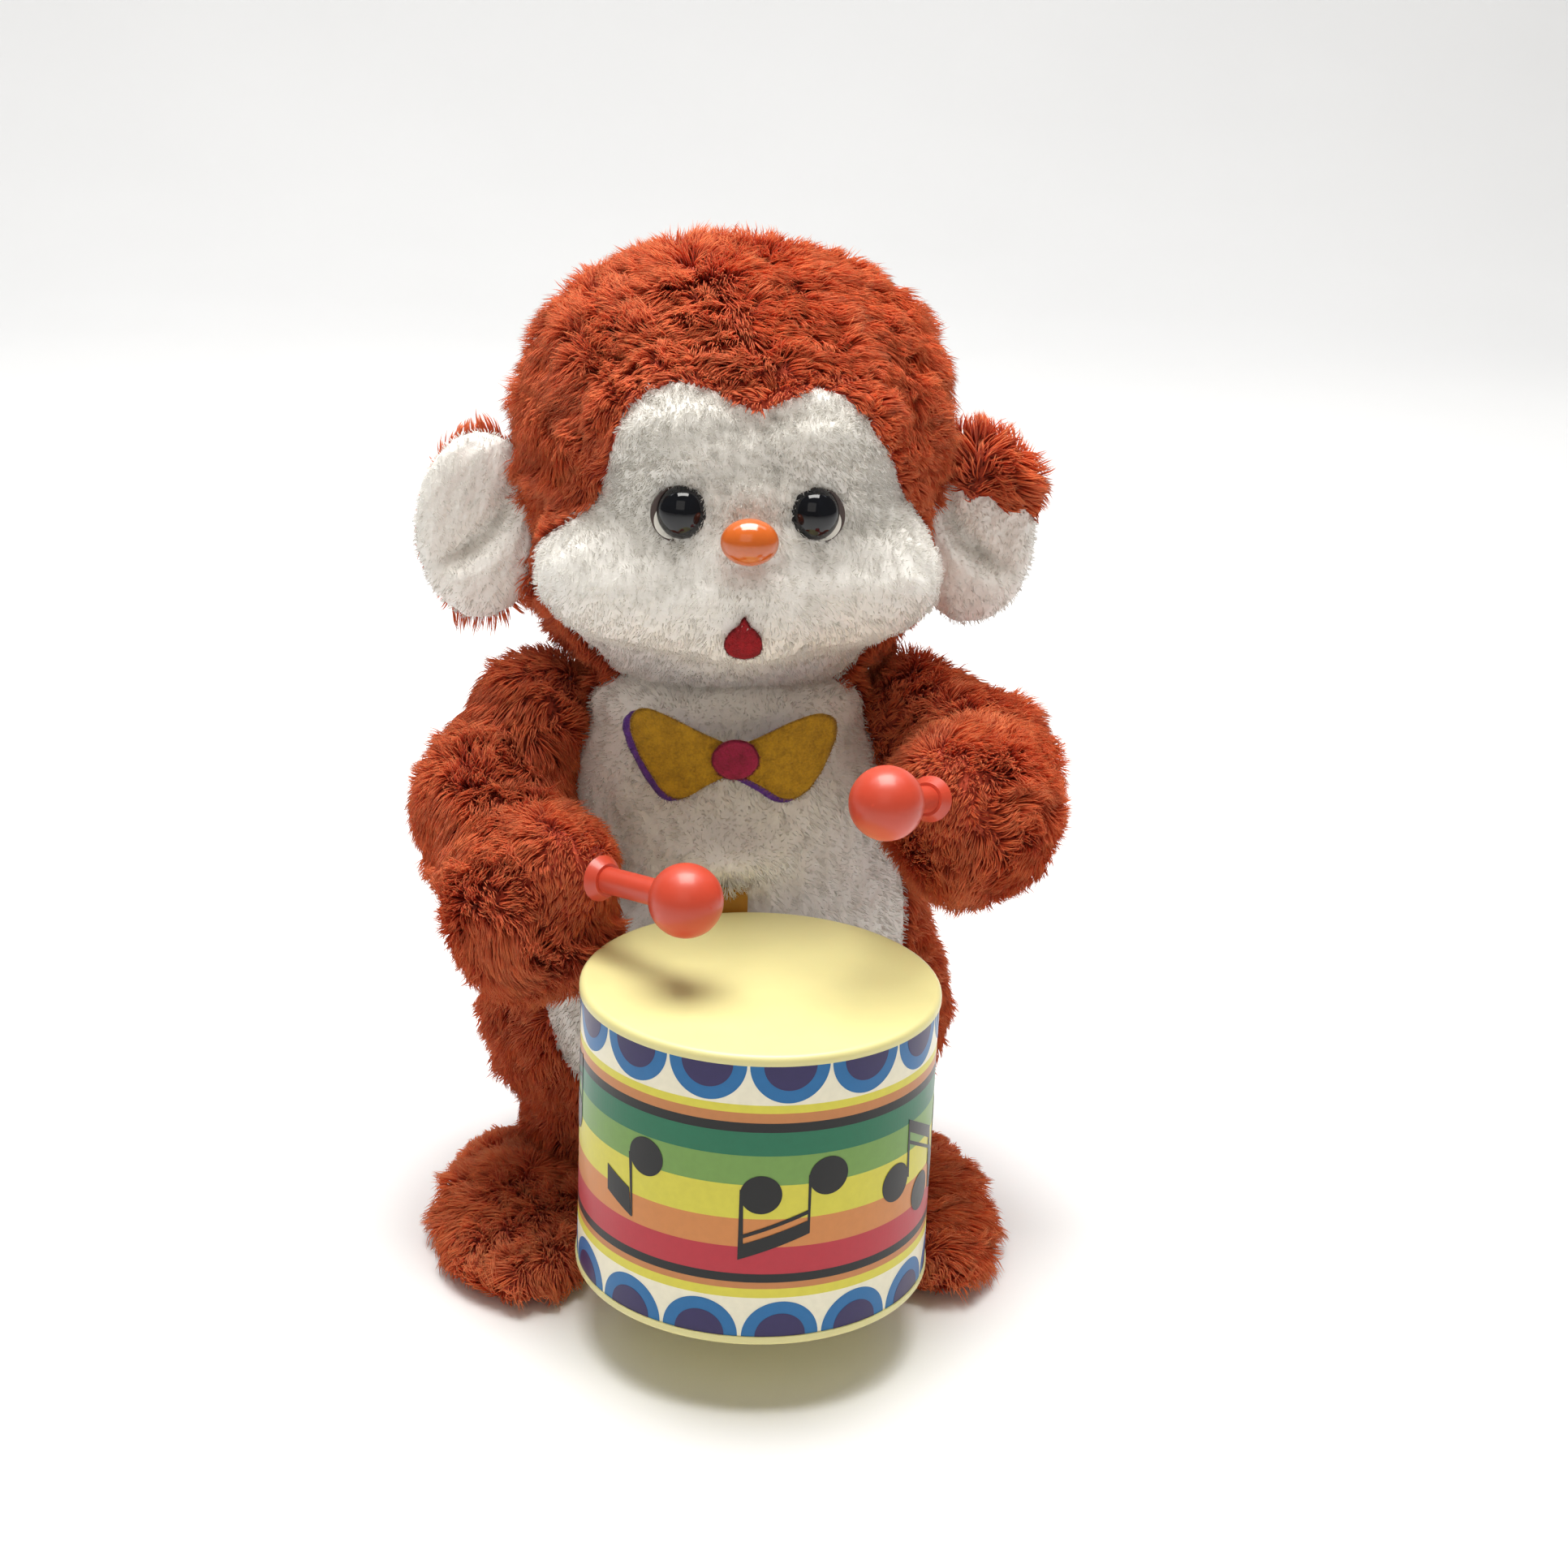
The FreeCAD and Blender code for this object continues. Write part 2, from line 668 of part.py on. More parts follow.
def arbor(name, x, z, leaves, module, phase, y0, length):
    pinion = gear(leaves, module, 0.8, 1.05, 0.07, phase, x, z, y0, length)
    staff = cyl_y(d("arbor_radius"), -13.6, 13.6, x, z)
    return node(fuse(staff, pinion), name)


n2, n3, n4 = num(d("second_leaves")), num(d("crank_leaves")), num(d("fan_leaves"))
arbor("second_arbor", second_x, second_z, n2, mg, line_a + math.pi + math.pi / n2, 0.4, 2.8)
wheel = gear(num(d("second_teeth")), mt, 0.72, 1.15, 0.06, line_b, second_x, second_z, 6.0, num(d("second_thick")))
node(cut(wheel, cyl_y(d("arbor_radius") + 0.02, 5.0, 8.0, second_x, second_z)), "second_wheel")
arbor("crank_arbor", crank_x, crank_z, n3, mt, line_b + math.pi + math.pi / n3, 5.4, 2.2)
# the governor pinion meets the same wheel: its phase follows the nearest tooth
pitch = 2 * math.pi / num(d("second_teeth"))
slip = (line_c - line_b) / pitch
slip = (slip - round(slip)) * pitch  # line_c from its nearest tooth centre
fan_phase = line_c + math.pi + math.pi / n4 + slip * num(d("second_teeth")) / n4
arbor("governor_arbor", fan_x, fan_z, n4, mt, fan_phase, 5.4, 2.2)
node(
    cuts(
        fuse(
            cyl_y(d("crank_disc_radius"), -7.0, -6.0, crank_x, crank_z),
            cyl_y(0.8, -9.8, -7.0, crank_x + num(d("crank_throw")), crank_z),
        ),
        cyl_y(d("arbor_radius") + 0.02, -12.0, -5.0, crank_x, crank_z),
    ),
    "crank_disc",
)
node(
    cut(
        fuse(
            cyl_y(1.9, -3.0, 3.0, fan_x, fan_z),
            box(fan_x - 5.2, fan_x + 5.2, -3.0, 3.0, fan_z - 0.35, fan_z + 0.35),
        ),
        cyl_y(d("arbor_radius") + 0.02, -5.0, 5.0, fan_x, fan_z),
    ),
    "governor_fan",
)

# ---- rocker: forked foot over the crank pin, toes under both arm levers ---------

b = new_body("rocker_beam")
s = sketch(b, "XZ_Plane", 8.2)
rz = d("rocker_height")
rr = d("rocker_reach")
polygon(s, [
    (-rr, rz - 1.6), (-3.6, rz - 3.0), (-8.0, rz - 11.0), (-8.0, rz - 21.5),
    (-6.5, rz - 21.5), (-6.5, rz - 12.0), (6.5, rz - 12.0), (6.5, rz - 21.5),
    (8.0, rz - 21.5), (8.0, rz - 11.0), (3.6, rz - 3.0), (rr, rz - 1.6),
    (rr, rz + 2.0), (1.0, rz + 2.6), (1.0, rz + 7.5), (-1.0, rz + 7.5),
    (-1.0, rz + 2.6), (-rr, rz + 2.0),
])
pad(b, s, 1.2)
s = sketch(b, "XZ_Plane", 12.0)
circle(s, 0.0, rz, 1.0 + d("running_gap"))
pocket(b, s, 6.0)
turned(b, num(d("rocker_rest")), (0, 1, 0), (0, 0, num(rz)))
node(b, "rocker_beam")

# ---- drum --------------------------------------------------------------------------


def drum_body(name, profile):
    b = new_body(name)
    s = sketch(b, "XZ_Plane")
    polygon(s, profile)
    revolve(b, s)
    place(b, d("drum_side"), -d("drum_forward"), 0.0)
    return b


shell_r = d("drum_radius") - d("label_thick")
low_seat = d("drum_low") + d("cap_thick")
top_seat = d("drum_top") - d("cap_thick")
dz = num(d("drum_top"))
screw_ways = [cyl_y(1.25, -40.0, -30.0, -1.0, z) for z in (61.0, 49.0)]
tube = drum_body("drum_shell", [
    (shell_r - d("drum_wall"), low_seat), (shell_r, low_seat),
    (shell_r, top_seat), (shell_r - d("drum_wall"), top_seat),
])
node(cuts(tube, *screw_ways), "drum_shell")
tube = drum_body("drum_label", [
    (shell_r + 0.01, low_seat + 0.02), (d("drum_radius"), low_seat + 0.02),
    (d("drum_radius"), top_seat - 0.02), (shell_r + 0.01, top_seat - 0.02),
])
node(cuts(tube, *screw_ways), "drum_label")
b = drum_body("drum_head", [
    (0.0, d("drum_top") - 1.4), (29.2, d("drum_top") - 1.4), (29.2, 64.0),
    (30.7, 64.0), (30.7, top_seat), (d("drum_rim"), top_seat),
    (d("drum_rim"), d("drum_top")), (0.0, d("drum_top")),
])
f = round_edges(b, b.Tip, 1.2, lambda e: is_ring(e, num(d("drum_rim")), num(d("drum_top"))))
node(b, "drum_head")
b = drum_body("drum_bottom", [
    (0.0, d("drum_low")), (d("drum_rim"), d("drum_low")), (d("drum_rim"), low_seat),
    (30.7, low_seat), (30.7, 21.0), (29.2, 21.0), (29.2, d("drum_low") + 1.4),
    (0.0, d("drum_low") + 1.4),
])
f = round_edges(b, b.Tip, 1.0, lambda e: is_ring(e, num(d("drum_rim")), num(d("drum_low"))))
node(b, "drum_bottom")
bracket = fuse(
    box(-5.0, 3.0, -32.9, -13.25, 74.0, 75.2),
    box(-5.0, 3.0, -32.9, -31.7, 44.0, 75.2),
    box(-5.0, 3.0, -14.45, -13.25, 70.0, 75.2),
)
node(cuts(bracket, *screw_ways, cyl_y(1.2, -20.0, -13.0, 0.0, crank_z)), "drum_bracket")
node(
    group(*[
        fuse(cyl_y(1.2, -37.0, -31.2, -1.0, z), cyl_y(2.4, -38.4, -36.8, -1.0, z))
        for z in (61.0, 49.0)
    ]),
    "bracket_screws",
)

# ---- plush and felt of the torso --------------------------------------------------

cavity = loft(grown(CASING, 3.6, 1.0, 12.0))
drum_room = cyl_z(35.1, 10.0, 73.0, d("drum_side"), -d("drum_forward"))
foot_room = box(-70.0, 70.0, -70.0, 15.5, -2.0, 15.0)
sleeve_room = [
    box(num(x0), num(x1), -45.0, 22.0, 54.0, 115.0)
    for x0, x1 in ((-70.0, -35.8), (35.8, 70.0))
]
hub_room = cyl_x(d("hub_radius") + 1.2, -60.0, 60.0, 0.0, axis_z)
key_room = cyl_y(6.4, 20.0, 60.0, 0.0, d("key_height"))
belly_cx, belly_cz = 0.0, 65.0
panel = prism_y(BELLY, -60.0, -13.0)
panel_room = prism_y(
    swollen(BELLY, num(d("panel_gap")), belly_cx, belly_cz), -60.0, -13.0 + num(d("panel_gap"))
)
belly = common(loft(BODY), panel)
strip_way = box(-5.6, 3.6, -45.0, -31.2, 43.0, 75.8)
head_ways = [cyl_y(2.8, -26.8, 26.8, x, 30.0) for x in (-16.0, 16.0)]
node(cuts(belly, *sleeve_room, cavity, drum_room, bracket_way, strip_way, *head_ways), "belly_panel")
node(
    cuts(loft(BODY), *sleeve_room, panel_room, cavity, foot_room, hub_room, key_room, drum_room, *head_ways),
    "body_plush",
)
pad_room_parts = []
for side, name in ((-1.0, "foot_plush_right"), (1.0, "foot_plush_left")):
    foot = loft(FOOT)
    foot.Placement = Placement(Vector(side * 39.0, -24.0, 0), Rotation(Vector(0, 0, 1), side * 4.0))
    cx = side * num(d("foot_offset"))
    r = num(d("foot_pad_radius")) + 0.4
    room = fuse(
        cyl_z(r, -2.0, 3.4, cx, -num(d("foot_front"))),
        cyl_z(r, -2.0, 3.4, cx, -num(d("foot_rear"))),
        box(cx - r, cx + r, -num(d("foot_front")), -num(d("foot_rear")), -2.0, 3.4),
    )
    floor_room = fuse(
        box(min(0, side * 37.0), max(0, side * 37.0), -20.4, 8.4, -2.0, 3.4),
        box(min(0, side * 20.4), max(0, side * 20.4), -20.4, 22.4, -2.0, 3.4),
    )
    shell_room = loft(grown(CASING, 3.6, 1.0, 1.0))
    node(cuts(foot, room, floor_room, shell_room), name)
node(
    cut(
        fuse(cyl_y(5.9, 28.5, 38.6, 0.0, d("key_height")), cyl_y(8.0, 38.2, 39.4, 0.0, d("key_height"))),
        cyl_y(4.4, 20.0, 45.0, 0.0, d("key_height")),
    ),
    "key_grommet",
)

# bow: two felt butterflies and a felt knot
BOW = [
    (0.0, 3.4), (6.0, 4.6), (14.0, 7.6), (17.5, 7.2), (20.0, 3.0), (18.6, -1.6),
    (14.0, -7.4), (11.0, -8.4), (6.0, -6.4), (0.0, -3.4), (-6.0, -6.4), (-11.0, -8.4),
    (-14.0, -7.4), (-18.6, -1.6), (-20.0, 3.0), (-17.5, 7.2), (-14.0, 7.6), (-6.0, 4.6),
]


def felt(name, points, front_y, dx=0.0, dz=0.0):
    b = new_body(name)
    s = sketch(b, "XZ_Plane", -front_y - VALUE["felt_thick"])
    polygon(s, [(x + dx, z + dz) for x, z in points])
    pad(b, s, d("felt_thick"))
    return node(b, name)


felt("bow_back", BOW, -29.6, -1.3, 99.6)
felt("bow_front", BOW, -30.7, 0.0, 100.6)
felt("bow_knot", [
    (4.4 * math.cos(k * math.pi / 9), 100.9 + 4.0 * math.sin(k * math.pi / 9)) for k in range(18)
], -31.8)

# ---- key ---------------------------------------------------------------------------

b = new_body("winding_key")
s = sketch(b, "XY_Plane", key_z)
ks, kl = d("key_start"), d("key_span")
polygon(s, [
    (-3.6, ks - 3.5), (3.6, ks - 3.5), (3.6, ks + 1.5), (7.0, ks + 0.5), (kl - 2.0, ks + 1.5),
    (kl, ks + 5.0), (kl - 1.5, ks + 10.5), (kl - 6.0, ks + 13.0), (5.0, ks + 11.5),
    (0.0, ks + 8.0), (-5.0, ks + 11.5), (6.0 - kl, ks + 13.0), (1.5 - kl, ks + 10.5),
    (-kl, ks + 5.0), (2.0 - kl, ks + 1.5), (-7.0, ks + 0.5), (-3.6, ks + 1.5),
])
blade = pad(b, s, 1.6, mid=True)
s = sketch(b, "XY_Plane", key_z + 2.0)
for x in (-8.6, 8.6):
    circle(s, x, ks + 6.6, 3.3)
pocket(b, s, 4.0)
round_edges(b, b.Tip, 0.5, lambda e: isinstance(e.Curve, Part.Line)
            and abs(e.Vertexes[0].Z - e.Vertexes[-1].Z) < 1e-6)
hub = cyl_y(3.9, num(ks) - 4.0, num(ks) + 4.0, 0.0, d("key_height"))
bore = cyl_y(d("winding_radius") + 0.02, num(ks) - 6.0, 46.05, 0.0, d("key_height"))
node(cut(fuse(b, hub), bore), "winding_key")

# ---- arms ----------------------------------------------------------------------------

ARMS = {
    # side: name, shoulder, elbow, hand, flange centre, ball centre, lever rest angle
    -1: ("right", (-41.0, 0.0, 97.0), (-46.0, -9.0, 83.0), (-39.0, -39.0, 73.5),
         (-25.7, -52.0, 84.7), (-11.5, -70.0, 87.7), -1.0, (-8.0, 23.0)),
    1: ("left", (41.0, 0.0, 97.0), (51.0, -12.0, 90.0), (46.5, -38.0, 92.0),
        (34.0, -52.0, 100.5), (23.5, -70.0, 106.3), 1.0, (-23.0, 8.0)),
}
for side, (word, S, Eb, H, F, B, rest, swing) in ARMS.items():
    u = Vector(*B) - Vector(*F)
    reach = u.Length
    u.normalize()
    # lever: hub on the shaft, toe above the rocker end, wire out to the hand
    x_in, x_out = d("hub_inner_end"), d("hub_outer_end")
    toe_x0, toe_x1 = (18.0, 20.0) if side > 0 else (-20.0, -18.0)
    hub_x0, hub_x1 = (x_in, x_out) if side > 0 else (-x_out, -x_in)
    toe = fuse(
        box(toe_x0, toe_x1, -10.0, 0.0, axis_z - 6.5, axis_z - 1.5),
        box(toe_x0, toe_x1, -3.0, 0.5, axis_z - 2.9, axis_z - 0.5),
    )
    turned(toe, -rest * num(d("lever_rest")), (1, 0, 0), (0, 0, shaft_z))
    W = Vector(*F) - u * (num(d("stick_tail")) + 2.5)
    bend = Vector(*Eb)
    root_pt = Vector(side * 40.3, -1.2, shaft_z - 1.0)
    wire_line = [tuple(root_pt), tuple(bend), tuple(W)]
    hubs = cyl_x(d("hub_radius"), hub_x0, hub_x1, 0.0, axis_z)
    wires = [rod(1.4, wire_line[0], wire_line[1]), rod(1.4, wire_line[1], wire_line[2]), ball(1.4, wire_line[1])]
    lever = cut(
        fuse(hubs, toe, *wires),
        cyl_x(d("shaft_radius") + d("running_gap"), -60.0, 60.0, 0.0, axis_z),
    )
    node(lever, "arm_lever_" + word)
    # plush sleeve
    rad = num(d("arm_plush_radius"))
    sleeve = fuse(
        ball(rad - 1.5, S), ball(rad, Eb), ball(rad, H),
        prim("Cone", *S, Rotation(Vector(0, 0, 1), Vector(*Eb) - Vector(*S)),
             Radius1=rad - 2.2, Radius2=rad - 0.7, Height=(Vector(*Eb) - Vector(*S)).Length),
        rod(rad - 0.7, Eb, H),
    )
    ways = [rod(1.9, wire_line[0], wire_line[1]), ball(1.9, wire_line[1]),
            rod(1.9, wire_line[1], tuple(W - u * 0.6)), ball(1.9, tuple(W - u * 0.6))]
    hub_bore = cyl_x(d("hub_radius") + 0.8, -47.6 if side < 0 else 30.0, -30.0 if side < 0 else 47.6, 0.0, axis_z)
    tail_way = rod(num(d("tail_radius")) + 0.3, tuple(Vector(*F) + u * 3.0), tuple(Vector(*F) - u * (num(d("stick_tail")) + 0.4)))
    washer_way = rod(5.4, tuple(Vector(*F) - u * 10.6), tuple(Vector(*F) - u * 12.6))
    flange_way = rod(num(d("flange_radius")) + 0.6, tuple(Vector(*F) + u * 6.0), tuple(Vector(*F) - u * 0.8))
    sweep = []
    for ang in (0.0, swing[0], swing[1], (swing[0] + swing[1]) / 2.0):
        k = box(min(0.0, side * 37.2), max(0.0, side * 37.2), -31.0, 40.0, 20.0, 150.0)
        # the torso seen from the arm when the arm has swung by ang
        turned_k = doc.addObject("Part::Compound", fresh("keep"))
        turned_k.Links = [k]
        turned(turned_k, ang, (1, 0, 0), (0, 0, shaft_z))
        sweep.append(turned_k)
    node(cuts(sleeve, *sweep, *ways, hub_bore, tail_way, washer_way, flange_way), "arm_plush_" + word)
    # drumstick, made along +Z with the ball centre at the origin, then placed
    tail_z = -reach
    stick = fuse(
        prim("Sphere", 0, 0, 0, Radius=d("ball_radius")),
        prim("Cylinder", 0, 0, tail_z, Radius=d("stick_radius"), Height=reach - 3.0),
        prim("Cone", 0, 0, tail_z - 0.2, Radius1=d("flange_radius"), Radius2=d("flange_radius") - 1.2, Height=2.0),
        prim("Cylinder", 0, 0, tail_z - d("stick_tail"), Radius=d("tail_radius"), Height=d("stick_tail")),
    )
    stick.Placement = Placement(Vector(*B), Rotation(Vector(0, 0, 1), u))
    node(stick, "drumstick_" + word)
    washer = cut(
        prim("Cylinder", 0, 0, tail_z - 12.1, Radius=5.0, Height=1.0),
        prim("Cylinder", 0, 0, tail_z - 14.0, Radius=d("tail_radius") + 0.02, Height=6.0),
    )
    washer.Placement = Placement(Vector(*B), Rotation(Vector(0, 0, 1), u))
    node(washer, "stick_washer_" + word)

# ---- head -------------------------------------------------------------------------------

b = new_body("head_post")
s = sketch(b, "XZ_Plane", 8.2)
nz = d("neck_height")
polygon(s, [
    (-3.6, nz - 16.6), (-1.7, nz - 16.6), (-1.7, nz - 11.4), (1.7, nz - 11.4), (1.7, nz - 16.6),
    (3.6, nz - 16.6), (3.6, nz - 8.0), (5.0, nz - 4.0), (5.0, nz + 9.2), (-5.0, nz + 9.2),
    (-5.0, nz - 4.0), (-3.6, nz - 8.0),
])
pad(b, s, 1.2)
s = sketch(b, "XZ_Plane", 12.0)
circle(s, 0.0, nz, 1.0 + d("running_gap"))
pocket(b, s, 6.0)
s = sketch(b, "XY_Plane", 118.0)
circle(s, 0.0, 0.0, 12.0)
pad(b, s, 1.5)
node(b, "head_post")

core_c = (0.0, 0.5, 152.0)
core = cuts(
    egg(34.0, 31.0, 32.0, *core_c),
    egg(32.4, 29.4, 30.4, *core_c),
    box(-50.0, 50.0, -50.0, 50.0, 100.0, 122.4),
)
core = fuse(core, cyl_z(15.5, 119.55, 124.0))
ey, ez = d("eye_side"), d("eye_height")
stem_ways = [cyl_y(d("stem_radius") + 0.1, -45.0, -20.0, x, ez) for x in (-ey, ey)]
stem_ways.append(cyl_y(d("stem_radius") + 0.1, -45.0, -20.0, -0.2, 147.0))
node(cuts(core, *stem_ways), "head_core")
core_room = fuse(egg(34.6, 31.6, 32.6, *core_c), cyl_z(19.5, 105.0, 126.0))
face_prism = prism_y(FACE, -80.0, -15.0)
face_room = prism_y(swollen(FACE, num(d("panel_gap")), 0.0, 142.0), -80.0, -15.0 + num(d("panel_gap")))
muzzle = egg(37.5, 25.0, 19.0, 0.0, -21.0, 133.0)
face = common(fuse(loft(HEAD), muzzle), face_prism)
eye_rooms = [cyl_y(5.9, -60.0, -37.3, x, ez - 0.2) for x in (-ey - 0.4, ey + 0.4)]
nose_room = egg(5.8, 4.6, 4.9, -0.2, -45.6, 147.0)
mouth_room = box(-6.0, 5.0, -60.0, -45.4, 123.0, 135.0)
node(cuts(face, core_room, *eye_rooms, *stem_ways, nose_room, mouth_room), "face_plush")
node(cuts(loft(HEAD), face_room, core_room), "head_plush")

domes, whites, washers = [], [], []
for x in (-ey, ey):
    sx = 1.0 if num(x) > 0 else -1.0
    dome = cut(egg(d("eye_radius"), 4.4, 5.0, x, -38.5, ez), box(x - 9.0, x + 9.0, -38.5, -20.0, ez - 9.0, ez + 9.0))
    domes.append(fuse(dome, cyl_y(d("stem_radius"), -39.5, -23.4, x, ez)))
    whites.append(cut(
        cyl_y(5.3, -38.45, -37.5, x + 0.5 * sx, ez - 0.5),
        cyl_y(d("stem_radius") + 0.05, -40.0, -30.0, x, ez),
    ))
    washers.append(cut(
        cyl_y(3.6, -24.8, -23.8, x, ez), cyl_y(d("stem_radius") + 0.02, -30.0, -20.0, x, ez),
    ))
node(group(*domes), "eye_domes")
node(group(*whites), "eye_whites")
nose = fuse(egg(5.3, 4.1, 4.3, -0.2, -45.8, 147.0), cyl_y(d("stem_radius"), -43.0, -25.6, -0.2, 147.0))
node(nose, "nose")
washers.append(cut(
    cyl_y(3.6, -27.2, -26.2, -0.2, 147.0), cyl_y(d("stem_radius") + 0.02, -30.0, -20.0, -0.2, 147.0),
))
node(group(*washers), "face_washers")
felt("mouth", [
    (-0.7, 132.6), (0.7, 130.6), (2.6, 128.4), (3.0, 126.8), (2.0, 125.2), (-0.7, 124.6),
    (-3.4, 125.2), (-4.4, 126.8), (-4.0, 128.4), (-2.1, 130.6),
], -45.6 - 1.0)

for side, name in ((-1.0, "ear_right"), (1.0, "ear_left")):
    facing = Rotation(Vector(0, 0, 1), 0.0 if side > 0 else 180.0)
    tilt = Rotation(Vector(0, 1, 0), side * -3.0)
    ear = egg(12.6, 5.4, 18.4, side * 48.2, 4.0, 136.5, tilt.multiply(facing))
    node(cut(ear, loft(grown(HEAD, 0.35))), name)

# ---- checks and output ---------------------------------------------------------------------

doc.recompute()
bad = []
for o in doc.Objects:
    if "Invalid" in o.State or "Error" in o.State:
        bad.append("%s (%s): %s" % (o.Name, o.Label, o.State))
for name, o in NODES.items():
    shape = o.Shape
    if shape.isNull() or not shape.isValid() or not shape.Solids:
        bad.append("%s: null, invalid or no solid" % name)
if bad:
    raise RuntimeError("; ".join(bad))
os.makedirs("parts", exist_ok=True)
for name, o in NODES.items():
    o.Shape.exportStep("parts/%s.step" % name)
print("nodes", len(NODES))
for name, o in NODES.items():
    bb = o.Shape.BoundBox
    print("%-20s solids %d vol %9.2f  x %7.2f %7.2f  y %7.2f %7.2f  z %7.2f %7.2f" % (
        name, len(o.Shape.Solids), o.Shape.Volume, bb.XMin, bb.XMax, bb.YMin, bb.YMax, bb.ZMin, bb.ZMax))
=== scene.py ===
import json
import math

import bmesh
import bpy
import numpy as np
from mathutils import Matrix, Vector
from mathutils.kdtree import KDTree


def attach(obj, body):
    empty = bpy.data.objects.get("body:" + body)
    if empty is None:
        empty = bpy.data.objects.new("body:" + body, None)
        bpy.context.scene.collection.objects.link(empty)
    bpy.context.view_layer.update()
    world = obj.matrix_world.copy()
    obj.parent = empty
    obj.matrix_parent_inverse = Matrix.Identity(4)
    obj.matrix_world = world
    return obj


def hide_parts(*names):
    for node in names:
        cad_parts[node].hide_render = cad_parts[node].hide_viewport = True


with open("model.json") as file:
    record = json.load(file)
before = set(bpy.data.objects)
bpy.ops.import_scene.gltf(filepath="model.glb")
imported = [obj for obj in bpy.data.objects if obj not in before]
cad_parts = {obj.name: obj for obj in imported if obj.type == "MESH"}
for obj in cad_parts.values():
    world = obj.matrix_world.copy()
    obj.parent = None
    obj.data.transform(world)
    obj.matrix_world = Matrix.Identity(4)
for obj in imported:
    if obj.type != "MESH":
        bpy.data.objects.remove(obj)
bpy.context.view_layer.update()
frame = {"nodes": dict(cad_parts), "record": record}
MM = 0.001
DENSITY = 0.76
scene = bpy.context.scene

# --------------------------------------------------------------------------
# camera: the same view as the reference, in millimetres and degrees
# --------------------------------------------------------------------------
CAM_POS = np.array([-44.04, -536.67, 278.48])
CAM_AZ, CAM_PITCH, CAM_ROLL, CAM_F = -6.02, 19.77, 2.31, 3500.0


def camera_basis():
    a, p, r = (math.radians(v) for v in (CAM_AZ, CAM_PITCH, CAM_ROLL))
    fwd = np.array([-math.sin(a) * math.cos(p), math.cos(a) * math.cos(p), -math.sin(p)])
    right = np.array([math.cos(a), math.sin(a), 0.0])
    up = np.cross(right, fwd)
    c, s = math.cos(r), math.sin(r)
    return c * right + s * up, -s * right + c * up, fwd


CR, CU, CF = camera_basis()


def project(p):
    """Frame position (mm) to the 1932 picture frame of the main camera."""
    d = np.asarray(p, float) - CAM_POS
    w = d @ CF
    return np.stack([966 + CAM_F * (d @ CR) / w, 966 - CAM_F * (d @ CU) / w], -1)


# --------------------------------------------------------------------------
# material helpers
# --------------------------------------------------------------------------


def new_mat(name):
    m = bpy.data.materials.new(name)
    m.use_nodes = True
    nt = m.node_tree
    bsdf = nt.nodes["Principled BSDF"]
    return m, nt, bsdf


def N(nt, kind, **kw):
    n = nt.nodes.new(kind)
    for k, v in kw.items():
        if k.startswith("i_"):
            key = k[2:]
            key = int(key) if key.isdigit() else key.replace("_", " ")
            n.inputs[key].default_value = v
        else:
            setattr(n, k, v)
    return n


def link(nt, a, b):
    nt.links.new(a, b)


def ramp(nt, stops, interp="LINEAR"):
    r = nt.nodes.new("ShaderNodeValToRGB")
    cr = r.color_ramp
    cr.interpolation = interp
    while len(cr.elements) < len(stops):
        cr.elements.new(0.5)
    for e, (pos, col) in zip(cr.elements, stops):
        e.position = pos
        e.color = (*col, 1.0)
    return r


def srgb(h):
    h = h.lstrip("#")
    out = []
    for i in (0, 2, 4):
        c = int(h[i:i + 2], 16) / 255
        out.append(c / 12.92 if c <= 0.04045 else ((c + 0.055) / 1.055) ** 2.4)
    return tuple(out)


def noise_colour(nt, bsdf, base, spread=0.08, scale=300.0, detail=4.0, rough=(0.4, 0.55), bump=0.0, bump_scale=None, coords="Object"):
    """Slightly varied colour, roughness and a fine bump, from noise in object space."""
    tc = N(nt, "ShaderNodeTexCoord")
    nz = N(nt, "ShaderNodeTexNoise", i_Scale=scale, i_Detail=detail)
    link(nt, tc.outputs[coords], nz.inputs["Vector"])
    dark = tuple(c * (1 - spread) for c in base)
    lite = tuple(min(1.0, c * (1 + spread)) for c in base)
    cr = ramp(nt, [(0.3, dark), (0.7, lite)])
    link(nt, nz.outputs["Fac"], cr.inputs["Fac"])
    link(nt, cr.outputs["Color"], bsdf.inputs["Base Color"])
    mr = N(nt, "ShaderNodeMapRange")
    mr.inputs["To Min"].default_value, mr.inputs["To Max"].default_value = rough
    link(nt, nz.outputs["Fac"], mr.inputs["Value"])
    link(nt, mr.outputs["Result"], bsdf.inputs["Roughness"])
    if bump:
        nb = N(nt, "ShaderNodeTexNoise", i_Scale=bump_scale or scale * 3, i_Detail=3.0)
        link(nt, tc.outputs[coords], nb.inputs["Vector"])
        bp = N(nt, "ShaderNodeBump", i_Strength=bump, i_Distance=0.0002)
        link(nt, nb.outputs["Fac"], bp.inputs["Height"])
        link(nt, bp.outputs["Normal"], bsdf.inputs["Normal"])
    return tc, nz


def plastic(name, col, rough=(0.3, 0.4), coat=0.3, spread=0.03, scale=120.0, sss=0.0, bump=0.05):
    m, nt, b = new_mat(name)
    noise_colour(nt, b, col, spread, scale, 3.0, rough, bump, 900.0)
    b.inputs["Coat Weight"].default_value = coat
    b.inputs["Coat Roughness"].default_value = 0.12
    if sss:
        b.inputs["Subsurface Weight"].default_value = sss
        b.inputs["Subsurface Radius"].default_value = (0.004, 0.002, 0.001)
        b.inputs["Subsurface Scale"].default_value = 0.6
    return m


